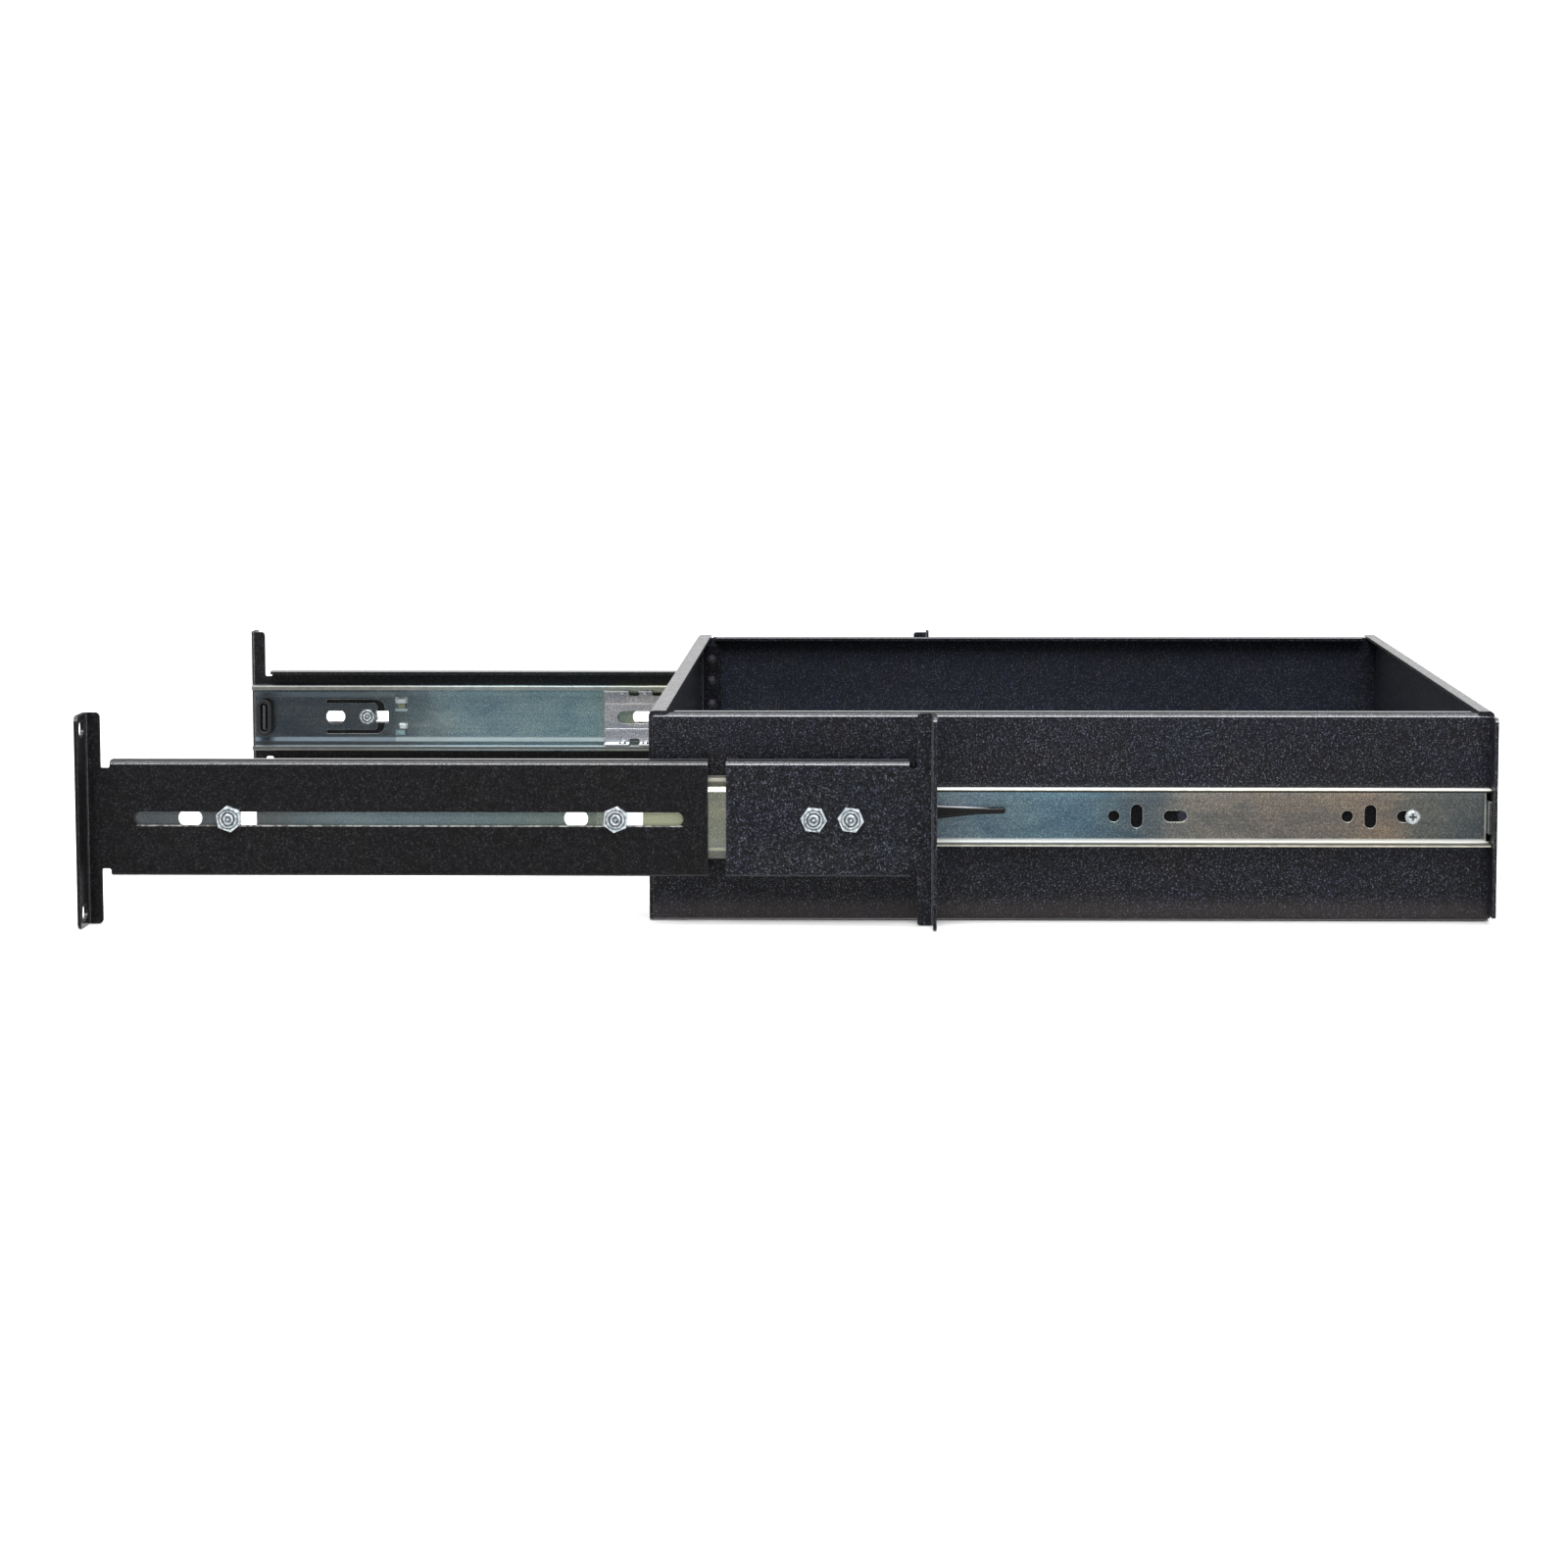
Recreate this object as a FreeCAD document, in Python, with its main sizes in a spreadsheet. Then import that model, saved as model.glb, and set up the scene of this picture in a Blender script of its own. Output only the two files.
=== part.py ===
import FreeCAD, Part
import math
import os

import Sketcher

# Sliding rack drawer: a folded sheet-metal drawer on a pair of ball-bearing
# slides, each slide bolted to a front bracket and an adjustable rear bracket.
#
# Frame, millimetres: +Z up, X across the rack, the drawer opens toward -Y.
# The origin is the centre of the front mounting slots, on the rear faces of
# the front ears (Y = 0); Z = 0 is also the axis of the slides.

V = FreeCAD.Vector
doc = FreeCAD.newDocument("SlidingRackDrawer")
sheet = doc.addObject("Spreadsheet::Sheet", "Dims")

DIMS = [
    # drawer box
    ("wall", 1.5, "steel sheet of drawer and brackets"),
    ("bend", 2.2, "outer bend radius"),
    ("box_half", 209.5, "half width of the drawer box"),
    ("box_low", 43.8, "drawer floor below the slide axis"),
    ("box_high", 42.7, "side flange top above the slide axis"),
    ("side_flange", 10.0, "width of the inturned side flange"),
    ("plate_at", 230.2, "inner face of the front plate ahead of the origin"),
    ("plate_half", 222.5, "half width of the front plate"),
    ("plate_low", 41.0, "bottom edge of the front plate"),
    ("hem_top", 43.7, "top of front and rear hems"),
    ("hem_half", 210.0, "half length of the front hem"),
    ("hem_front", 6.5, "depth of the front hem"),
    ("hem_rear", 7.2, "depth of the rear hem"),
    ("tail_at", 116.4, "inner face of the rear panel"),
    ("tab_width", 11.0, "weld tabs of the rear panel"),
    ("weld_dia", 5.0, "spot weld dimple"),
    # pull handle
    ("pull_span", 76.2, "handle screw spacing"),
    ("pull_out", 21.0, "handle reach from the plate"),
    ("pull_bar", 8.0, "handle bar size"),
    # brackets
    ("web_out", 223.7, "outer face of bracket webs"),
    ("ear_out", 241.3, "outer edge of the ears"),
    ("ear_high", 44.0, "half height of the ears"),
    ("chan_high", 24.0, "half height of the bracket channel"),
    ("chan_deep", 10.0, "bracket flange depth"),
    ("slot_x", 232.55, "mounting slot centre"),
    ("slot_z", 38.1, "mounting slot above and below the axis"),
    ("slot_long", 10.0, "mounting slot length"),
    ("slot_wide", 7.0, "mounting slot width"),
    ("front_len", 85.3, "front bracket length behind the ear"),
    ("rear_from", 92.8, "front end of the rear bracket"),
    ("rear_ear", 351.5, "rear face of the rear ears"),
    ("adj_from", 102.9, "adjusting slot, front end"),
    ("adj_to", 330.6, "adjusting slot, rear end"),
    ("adj_wide", 5.5, "adjusting slot width"),
    ("gap", 0.05, "running gap between bolted faces"),
    # slides
    ("zinc", 1.2, "slide member sheet"),
    ("cab_high", 17.0, "half height of the cabinet member"),
    ("web_step", 0.8, "outer slide web stands proud of its raceways"),
    ("cab_in", 211.5, "inner edge of the cabinet member"),
    ("cab_from", 0.2, "cabinet member ahead of the origin"),
    ("cab_to", 349.8, "rear end of the cabinet member"),
    ("mem_high", 12.0, "half height of the drawer member"),
    ("mem_out", 217.3, "outer edge of the drawer member"),
    ("mem_to", 111.0, "rear end of the drawer member"),
    ("ball_x", 214.6, "ball centres across"),
    ("ball_z", 13.9, "ball centres from the axis"),
    ("ball_r", 1.95, "ball radius"),
    ("race_r", 2.1, "race groove radius"),
    ("ball_pitch", 12.0, "ball pitch"),
    ("ball_from", 37.4, "first ball"),
    ("cage_from", 32.0, "front end of the ball retainer"),
    ("cage_to", 166.9, "rear end of the ball retainer"),
    # fasteners
    ("bolt_dia", 4.8, "slide bolt"),
    ("front_bolt", 33.8, "first front bolt"),
    ("front_pitch", 15.3, "front bolt pitch"),
    ("rear_bolt", 130.8, "first rear bolt"),
    ("rear_pitch", 160.16, "rear bolt pitch"),
    ("nut_flats", 9.5, "hex nut across flats"),
    ("nut_thick", 3.2, "hex nut thickness"),
    ("screw_front", 198.35, "front drawer screw ahead of the origin"),
    ("screw_rear", 72.0, "rear drawer screw behind the origin"),
    # release lever
    ("lever_pivot", 52.0, "lever pivot behind the origin"),
    ("lever_tip", 30.1, "lever tip ahead of the origin"),
]


class Size:
    """A number that keeps the sheet expression it comes from."""

    def __init__(self, value, text):
        self.value = float(value)
        self.text = text

    @staticmethod
    def of(other):
        if isinstance(other, Size):
            return other
        return Size(other, "(%.6f)" % other)

    def __add__(self, other):
        other = Size.of(other)
        return Size(self.value + other.value, "(%s + %s)" % (self.text, other.text))

    __radd__ = __add__

    def __sub__(self, other):
        other = Size.of(other)
        return Size(self.value - other.value, "(%s - %s)" % (self.text, other.text))

    def __rsub__(self, other):
        return Size.of(other) - self

    def __mul__(self, other):
        other = Size.of(other)
        return Size(self.value * other.value, "(%s * %s)" % (self.text, other.text))

    __rmul__ = __mul__

    def __truediv__(self, other):
        other = Size.of(other)
        return Size(self.value / other.value, "(%s / %s)" % (self.text, other.text))

    def __neg__(self):
        return Size(-self.value, "(-1 * %s)" % self.text)


SIZES = {}
for row, (alias, value, note) in enumerate(DIMS, start=1):
    sheet.set("A%d" % row, alias)
    sheet.set("B%d" % row, repr(value))
    sheet.set("C%d" % row, note)
    sheet.setAlias("B%d" % row, alias)
    SIZES[alias] = Size(value, "Dims." + alias)
doc.recompute()


def D(alias):
    return SIZES[alias]


def bind(obj, prop, size):
    size = Size.of(size)
    if size.text.startswith("(") and "Dims." not in size.text:
        value = size.value
        if "." in prop:
            obj.setExpression(prop, "%.6f" % value)
        else:
            setattr(obj, prop, value)
    else:
        obj.setExpression(prop, size.text)


BODIES = []


def new_body(label):
    body = doc.addObject("PartDesign::Body", "Body_" + label)
    body.Label = label
    BODIES.append(body)
    return body


def origin_plane(body, role):
    return [f for f in body.Origin.OriginFeatures if f.Role == role][0]


def new_sketch(body, name, role, at):
    sk = body.newObject("Sketcher::SketchObject", name)
    sk.AttachmentSupport = [(origin_plane(body, role), "")]
    sk.MapMode = "FlatFace"
    at = Size.of(at)
    sk.AttachmentOffset = FreeCAD.Placement(V(0, 0, at.value), FreeCAD.Rotation())
    if "Dims." in at.text:
        sk.setExpression("AttachmentOffset.Base.z", at.text)
    return sk


def fix_point(sk, geo, point, x, y):
    for kind, size in (("DistanceX", Size.of(x)), ("DistanceY", Size.of(y))):
        c = sk.addConstraint(Sketcher.Constraint(kind, -1, 1, geo, point, size.value))
        if "Dims." in size.text:
            sk.setExpression("Constraints[%d]" % c, size.text)


def outline(sk, corners):
    """Closed outline through corners (x, y) or (x, y, radius)."""
    pts = [tuple(Size.of(c) for c in corner) for corner in corners]
    n = len(pts)
    nodes = []
    for i, p in enumerate(pts):
        if len(p) == 2 or p[2].value <= 0:
            nodes.append((p[0], p[1], None))
            continue
        a, b = pts[i - 1], pts[(i + 1) % n]
        ux, uy = p[0].value - a[0].value, p[1].value - a[1].value
        vx, vy = b[0].value - p[0].value, b[1].value - p[1].value
        lu, lv = math.hypot(ux, uy), math.hypot(vx, vy)
        ux, uy, vx, vy = ux / lu, uy / lu, vx / lv, vy / lv
        cross, dot = ux * vy - uy * vx, ux * vx + uy * vy
        turn = math.atan2(cross, dot)
        k = math.tan(abs(turn) / 2)
        r = p[2]
        side = 1.0 if cross > 0 else -1.0
        sx = p[0] - r * round(ux * k, 9)
        sy = p[1] - r * round(uy * k, 9)
        ex = p[0] + r * round(vx * k, 9)
        ey = p[1] + r * round(vy * k, 9)
        cx = sx + r * round(-uy * side, 9)
        cy = sy + r * round(ux * side, 9)
        nodes.append((sx, sy, None))
        nodes[-1] = (sx, sy, (cx, cy, r, cross > 0))
        nodes.append((ex, ey, None))
    geos = []
    m = len(nodes)
    for i in range(m):
        a, b = nodes[i], nodes[(i + 1) % m]
        pa, pb = V(a[0].value, a[1].value, 0), V(b[0].value, b[1].value, 0)
        if a[2] is None:
            if (pa - pb).Length < 1e-6:
                continue
            geos.append((sk.addGeometry(Part.LineSegment(pa, pb)), 1, 2, a, b))
        else:
            cx, cy, radius, ccw = a[2]
            middle = V(cx.value, cy.value, 0)
            p0, p1 = (pa, pb) if ccw else (pb, pa)
            a0 = math.atan2(p0.y - middle.y, p0.x - middle.x)
            a1 = math.atan2(p1.y - middle.y, p1.x - middle.x)
            if a1 <= a0:
                a1 += 2 * math.pi
            round_ = Part.Circle(middle, V(0, 0, 1), radius.value)
            g = sk.addGeometry(Part.ArcOfCircle(round_, a0, a1))
            ends = (1, 2) if ccw else (2, 1)
            geos.append((g, ends[0], ends[1], a, b))
    count = len(geos)
    for i in range(count):
        g0, _, e0, _, _ = geos[i]
        g1, s1, _, _, _ = geos[(i + 1) % count]
        sk.addConstraint(Sketcher.Constraint("Coincident", g0, e0, g1, s1))
    for g, s, _, a, b in geos:
        fix_point(sk, g, s, a[0], a[1])
        if a[2] is not None:
            cx, cy = a[2][:2]
            dx, dy = b[0].value - a[0].value, b[1].value - a[1].value
            if abs(dy) >= abs(dx):
                kind, size = "DistanceX", cx
            else:
                kind, size = "DistanceY", cy
            c = sk.addConstraint(Sketcher.Constraint(kind, -1, 1, g, 3, size.value))
            if "Dims." in size.text:
                sk.setExpression("Constraints[%d]" % c, size.text)


def circle(sk, x, y, r):
    x, y, r = Size.of(x), Size.of(y), Size.of(r)
    g = sk.addGeometry(Part.Circle(V(x.value, y.value, 0), V(0, 0, 1), r.value))
    fix_point(sk, g, 3, x, y)
    c = sk.addConstraint(Sketcher.Constraint("Radius", g, r.value))
    if "Dims." in r.text:
        sk.setExpression("Constraints[%d]" % c, r.text)


def box_corners(x0, x1, y0, y1, r=0):
    return [(x0, y0, r), (x1, y0, r), (x1, y1, r), (x0, y1, r)]


def slot_corners(x0, x1, y0, y1):
    """A rectangle whose short ends are full rounds."""
    x0, x1, y0, y1 = (Size.of(c) for c in (x0, x1, y0, y1))
    small = (y1 - y0) if (y1 - y0).value < (x1 - x0).value else (x1 - x0)
    return box_corners(x0, x1, y0, y1, small * 0.4999)


# Each sketch plane: local axes and which way its normal runs.
#   YZ_Plane: (Y, Z), normal +X;  XZ_Plane: (X, Z), normal -Y;  XY_Plane: (X, Y), +Z
SIGN = {"YZ_Plane": 1, "XZ_Plane": -1, "XY_Plane": 1}


def span(body, name, role, lo, hi, shapes, cut=False):
    """Pad or pocket closed outlines between lo and hi along the plane's axis."""
    lo, hi = Size.of(lo), Size.of(hi)
    add = not cut
    towards_plus = (SIGN[role] > 0) == add
    start = lo if towards_plus else hi
    at = start if SIGN[role] > 0 else -start
    sk = new_sketch(body, "Sk_" + name, role, at)
    for shape in shapes:
        if shape[0] == "circle":
            circle(sk, *shape[1:])
        else:
            outline(sk, shape)
    before = body.Shape.Volume if cut else 0.0
    kind = "PartDesign::Pocket" if cut else "PartDesign::Pad"
    feat = body.newObject(kind, name)
    feat.Profile = sk
    feat.Length = (hi - lo).value
    if "Dims." in (hi - lo).text:
        feat.setExpression("Length", (hi - lo).text)
    sk.Visibility = False
    doc.recompute()
    if "Invalid" in feat.State or "Error" in feat.State:
        raise RuntimeError("feature failed: " + name)
    if not sk.FullyConstrained:
        print("not fully constrained:", name)
    if cut and body.Shape.Volume >= before - 1e-6:
        raise RuntimeError("pocket cuts nothing: " + name)
    return feat


def pad(body, name, role, lo, hi, *shapes):
    return span(body, name, role, lo, hi, shapes)


def pocket(body, name, role, lo, hi, *shapes):
    return span(body, name, role, lo, hi, shapes, cut=True)


def revolve(body, name, role, at, axis, *shapes):
    sk = new_sketch(body, "Sk_" + name, role, at)
    for shape in shapes:
        outline(sk, shape)
    feat = body.newObject("PartDesign::Revolution", name)
    feat.Profile = sk
    feat.ReferenceAxis = (sk, [axis])
    feat.Angle = 360
    sk.Visibility = False
    doc.recompute()
    if "Invalid" in feat.State or "Error" in feat.State:
        raise RuntimeError("feature failed: " + name)
    return feat


def edges_where(shape, test):
    found = []
    for i, e in enumerate(shape.Edges):
        if test(e.BoundBox, e):
            found.append("Edge%d" % (i + 1))
    return found


def soften(body, name, kind, size, test, base=None):
    base = base or body.Tip
    edges = edges_where(base.Shape, test)
    if not edges:
        raise RuntimeError("no edges for " + name)
    feat = body.newObject("PartDesign::" + kind, name)
    feat.Base = (base, edges)
    prop = "Radius" if kind == "Fillet" else "Size"
    setattr(feat, prop, Size.of(size).value)
    if "Dims." in Size.of(size).text:
        feat.setExpression(prop, Size.of(size).text)
    doc.recompute()
    if "Invalid" in feat.State or "Error" in feat.State or not body.Shape.isValid():
        raise RuntimeError("feature failed: " + name)
    return feat


def row_of(body, name, sketch_owner, axis, step, count, originals):
    pat = body.newObject("PartDesign::LinearPattern", name)
    pat.Originals = originals
    pat.Direction = (sketch_owner, [axis])
    pat.Occurrences = count
    pat.Length = (Size.of(step) * (count - 1)).value
    pat.setExpression("Length", (Size.of(step) * (count - 1)).text)
    body.Tip = pat
    doc.recompute()
    if "Invalid" in pat.State or "Error" in pat.State:
        raise RuntimeError("feature failed: " + name)
    return pat


MIRRORS = []


def mirror_of(body, label):
    other = doc.addObject("Part::Mirroring", "Mirror_" + label)
    other.Source = body
    other.Base = V(0, 0, 0)
    other.Normal = V(1, 0, 0)
    other.Label = label
    MIRRORS.append(other)
    return other


wall, bend = D("wall"), D("bend")
inner = bend - wall  # inner bend radius

# --------------------------------------------------------------- drawer tray
# One sheet folded into a U, its side flanges turned inward at the top.
half, low, high = D("box_half"), D("box_low"), D("box_high")
flange = D("side_flange")
tray = new_body("drawer_tray")
pad(
    tray, "TrayFold", "XZ_Plane", -D("plate_at"), D("tail_at"),
    [
        (-half, -low, bend), (half, -low, bend), (half, high, bend),
        (half - flange, high), (half - flange, high - wall),
        (half - wall, high - wall, inner), (half - wall, wall - low, inner),
        (wall - half, wall - low, inner), (wall - half, high - wall, inner),
        (flange - half, high - wall), (flange - half, high), (-half, high, bend),
    ],
)
y_front, y_rear = -D("plate_at"), D("tail_at")
hem_lip_front = y_front - wall + D("hem_front")
hem_lip_rear = y_rear + wall - D("hem_rear")
cuts = []
for s in (-1, 1):
    cuts.append([
        (s * (half - wall), y_front - 1), (s * (half - wall), hem_lip_front + 0.6),
        (s * (half - flange - 1), hem_lip_front + 2.6), (s * (half - flange - 1), y_front - 1),
    ])
    cuts.append([
        (s * (half - wall), y_rear + 1), (s * (half - wall), hem_lip_rear - 1.4),
        (s * (half - flange - 1), hem_lip_rear - 3.6), (s * (half - flange - 1), y_rear + 1),
    ])
pocket(tray, "FlangeMitres", "XY_Plane", high - wall - 1.0, high + 1, *cuts)
cuts = []
for s in (-1, 1):
    cuts.append(box_corners(s * (half + 1), s * (half - wall - 0.2), y_front - 1, hem_lip_front + 0.3))
    cuts.append(box_corners(s * (half + 1), s * (half - wall - 0.2), hem_lip_rear - 0.9, y_rear + 1))
pocket(tray, "WallTops", "XY_Plane", D("hem_top") - wall - 0.05, high + 1, *cuts)
reliefs = []
for s in (-1, 1):
    reliefs.append(box_corners(s * (half + 1), s * (half - wall - 0.2), y_front - 1, y_front + 0.8))
    reliefs.append(box_corners(s * (half + 1), s * (half - wall - 0.2), y_rear - 0.8, y_rear + 1))
pocket(tray, "BendReliefs", "XY_Plane", D("hem_top") - wall - 0.8, high + 1, *reliefs)
holes = [
    ("circle", -D("screw_front"), 0, 2.05), ("circle", D("screw_rear"), 0, 2.05),
    ("circle", -103.6, 0, 2.15),
]
pocket(tray, "SideHoles", "YZ_Plane", -half - 1, half + 1, *holes)

# --------------------------------------------------------------- front panel
# A flat plate as wide as the slides, its top edge turned back as a hem.
plate_half, plate_low, hem_top = D("plate_half"), D("plate_low"), D("hem_top")
front = new_body("front_panel")
pad(
    front, "FrontPlate", "XZ_Plane", y_front - wall, y_front,
    [
        (-plate_half, -plate_low, 1.2), (4.0 - half, -plate_low), (4.0 - half, 0.3 - low, 1.0),
        (half - 4.0, 0.3 - low, 1.0), (half - 4.0, -plate_low), (plate_half, -plate_low, 1.2),
        (plate_half, hem_top - wall - 0.4, 2.0), (D("hem_half") + 1.2, hem_top - wall - 0.4),
        (D("hem_half"), hem_top - wall - 1.4), (-D("hem_half"), hem_top - wall - 1.4),
        (-D("hem_half") - 1.2, hem_top - wall - 0.4), (-plate_half, hem_top - wall - 0.4, 2.0),
    ],
)
pad(
    front, "FrontHem", "YZ_Plane", -D("hem_half"), D("hem_half"),
    [
        (y_front - wall, hem_top - wall - 1.6), (y_front - wall, hem_top, bend),
        (hem_lip_front, hem_top), (hem_lip_front, hem_top - wall),
        (y_front, hem_top - wall, inner), (y_front, hem_top - wall - 1.6),
    ],
)
pocket(
    front, "HandleHoles", "XZ_Plane", y_front - wall - 1, y_front + 1,
    ("circle", -D("pull_span") / 2, 0, 2.2), ("circle", D("pull_span") / 2, 0, 2.2),
)

# ---------------------------------------------------------------- rear panel
rear = new_body("rear_panel")
pad(
    rear, "RearPlate", "XZ_Plane", y_rear, y_rear + wall,
    box_corners(-half, half, -low, hem_top - wall - 0.6, 1.2),
)
pad(
    rear, "RearHem", "YZ_Plane", -half, half,
    [
        (y_rear, hem_top - wall - 2.0), (y_rear, hem_top - wall, inner),
        (hem_lip_rear, hem_top - wall), (hem_lip_rear, hem_top),
        (y_rear + wall, hem_top, bend), (y_rear + wall, hem_top - wall - 2.0),
    ],
)
tabs = []
for s in (-1, 1):
    a, b, c = s * (half - wall - 0.1), s * (half - 2 * wall - 0.1), s * (half - 2 * wall - 3.1)
    tabs.append([
        (a, y_rear + 0.3), (a, y_rear - D("tab_width")), (b, y_rear - D("tab_width")),
        (b, y_rear - 0.9, 0.9), (c, y_rear - 0.9), (c, y_rear + 0.3),
    ])
pad(rear, "WeldTabs", "XY_Plane", -36.0, 38.5, *tabs)
pocket(
    rear, "SpotWelds", "YZ_Plane", half - 2 * wall - 0.3, half - 2 * wall + 0.15,
    ("circle", y_rear - 6.0, 9.0, D("weld_dia") / 2), ("circle", y_rear - 6.0, 21.0, D("weld_dia") / 2),
    ("circle", y_rear - 6.0, -21.0, D("weld_dia") / 2), ("circle", y_rear - 6.0, 32.0, D("weld_dia") / 2),
)

# --------------------------------------------------------------- pull handle
# A plain bow handle on the middle of the front plate, screwed from inside.
bar = D("pull_bar")
y_face = y_front - wall
handle = new_body("pull_handle")
pad(
    handle, "HandleBow", "XY_Plane", -bar / 2, bar / 2,
    [
        (-D("pull_span") / 2 - bar / 2, y_face), (-D("pull_span") / 2 - bar / 2, y_face - D("pull_out"), 9),
        (D("pull_span") / 2 + bar / 2, y_face - D("pull_out"), 9), (D("pull_span") / 2 + bar / 2, y_face),
        (D("pull_span") / 2 - bar / 2, y_face), (D("pull_span") / 2 - bar / 2, y_face - D("pull_out") + bar * 0.8, 4),
        (bar / 2 - D("pull_span") / 2, y_face - D("pull_out") + bar * 0.8, 4), (bar / 2 - D("pull_span") / 2, y_face),
    ],
)
soften(handle, "HandleRound", "Fillet", 1.8,
       lambda b, e: b.ZLength < 1e-3 and b.YMax < y_face.value - 1e-3 or
       (b.ZLength < 1e-3 and b.XLength < 1e-3))
pocket(
    handle, "HandleTaps", "XZ_Plane", y_face - 8, y_face + 1,
    ("circle", -D("pull_span") / 2, 0, 1.6), ("circle", D("pull_span") / 2, 0, 1.6),
)

CROSS = [
    (-1.4, -0.35), (-0.35, -0.35), (-0.35, -1.4), (0.35, -1.4), (0.35, -0.35), (1.4, -0.35),
    (1.4, 0.35), (0.35, 0.35), (0.35, 1.4), (-0.35, 1.4), (-0.35, 0.35), (-1.4, 0.35),
]


def place(body, x, y, z):
    """Put a body whose own origin is its first fastener at x, y, z."""
    x, y, z = Size.of(x), Size.of(y), Size.of(z)
    body.Placement = FreeCAD.Placement(V(x.value, y.value, z.value), FreeCAD.Rotation())
    for prop, size in (("x", x), ("y", y), ("z", z)):
        if "Dims." in size.text:
            body.setExpression("Placement.Base." + prop, size.text)
    doc.recompute()


hscrews = new_body("handle_screws")
turned = revolve(
    hscrews, "HandleScrew", "XY_Plane", 0, "V_Axis",
    [(0, -8.5), (1.5, -8.5), (1.5, 0), (3.3, 0), (3.3, 1.2, 0.8), (2.2, 2.1), (0, 2.1)],
)
recess = pocket(hscrews, "HandleRecess", "XZ_Plane", 1.1, 3, CROSS)
row_of(hscrews, "HandleScrewPair", turned.Profile[0], "H_Axis", D("pull_span"), 2, [turned, recess])
place(hscrews, -D("pull_span") / 2, y_front, 0)

# ------------------------------------------------------------ front brackets
# Left-hand pieces are drawn on the -X side; the right-hand ones mirror them.
W, ear, ear_h = D("web_out"), D("ear_out"), D("ear_high")
chan, deep = D("chan_high"), D("chan_deep")
sx, sz = D("slot_x"), D("slot_z")


def channel(body, name, lo, hi):
    pad(
        body, name, "XZ_Plane", lo, hi,
        [
            (-W, -chan, bend), (deep - W, -chan), (deep - W, wall - chan),
            (wall - W, wall - chan, inner), (wall - W, chan - wall, inner),
            (deep - W, chan - wall), (deep - W, chan), (-W, chan, bend),
        ],
    )


def ear_slots(body, name, lo, hi):
    a, b = D("slot_long") / 2, D("slot_wide") / 2
    pocket(
        body, name, "XZ_Plane", lo, hi,
        slot_corners(-sx - a, a - sx, sz - b, sz + b),
        slot_corners(-sx - a, a - sx, -sz - b, b - sz),
    )


def ear_corners(body, name):
    soften(body, name, "Fillet", 2.8,
           lambda b, e: b.XMax < -ear.value + 1e-3 and b.ZLength < 1e-3 and b.YLength > 1)


fb = new_body("left_front_bracket")
channel(fb, "FrontChannel", 9.7, D("front_len"))
pad(
    fb, "FrontWeb", "YZ_Plane", -W, wall - W,
    [
        (3.0, -ear_h), (6.4, -ear_h, 1.2), (6.4, -23.0), (9.7, -23.0),
        (9.7, 23.0), (6.4, 23.0), (6.4, ear_h, 1.2), (3.0, ear_h),
    ],
)
pad(
    fb, "FrontEar", "XY_Plane", -ear_h, ear_h,
    [(-ear, -wall), (wall - W, -wall, bend), (wall - W, 3.0), (-W, 3.0), (-W, 0, inner), (-ear, 0)],
)
pocket(
    fb, "FrontRelief", "YZ_Plane", -W - 1, wall - W + 1,
    box_corners(6.4, 9.7, 21.0, 46.0, 0.8), box_corners(6.4, 9.7, -46.0, -21.0, 0.8),
)
ear_corners(fb, "FrontEarCorners")
ear_slots(fb, "FrontEarSlots", -wall - 1, 1)
pocket(
    fb, "FrontBoltHoles", "YZ_Plane", -W - 1, wall - W + 1,
    ("circle", D("front_bolt"), 0, 2.6), ("circle", D("front_bolt") + D("front_pitch"), 0, 2.6),
)
soften(fb, "FrontFlangeCorners", "Chamfer", 1.2,
       lambda b, e: abs(b.XMax + (W - deep).value) < 1e-3 and b.XLength < 1e-3 and b.YLength < 1e-3 and b.ZLength > 1)

# ------------------------------------------------------------- rear brackets
E_ = D("rear_ear")
rb = new_body("left_rear_bracket")
channel(rb, "RearChannel", D("rear_from"), 340.5)
pad(
    rb, "RearWeb", "YZ_Plane", -W, wall - W,
    [
        (347.0, -ear_h), (344.2, -ear_h, 1.8), (344.2, -23.0), (340.5, -23.0),
        (340.5, 23.0), (344.2, 23.0), (344.2, ear_h, 1.8), (347.0, ear_h),
    ],
)
pad(
    rb, "RearEar", "XY_Plane", -ear_h, ear_h,
    [(-ear, E_), (wall - W, E_, bend), (wall - W, 347.0), (-W, 347.0), (-W, E_ - wall, inner), (-ear, E_ - wall)],
)
pocket(
    rb, "RearRelief", "YZ_Plane", -W - 1, wall - W + 1,
    box_corners(340.5, 344.2, 21.0, 46.0, 0.8), box_corners(340.5, 344.2, -46.0, -21.0, 0.8),
)
ear_corners(rb, "RearEarCorners")
ear_slots(rb, "RearEarSlots", E_ - wall - 1, E_ + 1)
pocket(
    rb, "AdjustSlot", "YZ_Plane", -W - 1, wall - W + 1,
    slot_corners(D("adj_from"), D("adj_to"), -D("adj_wide") / 2, D("adj_wide") / 2),
)
soften(rb, "RearFlangeCorners", "Chamfer", 1.2,
       lambda b, e: abs(b.XMax + (W - deep).value) < 1e-3 and b.XLength < 1e-3 and b.YLength < 1e-3 and b.ZLength > 1)

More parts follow.
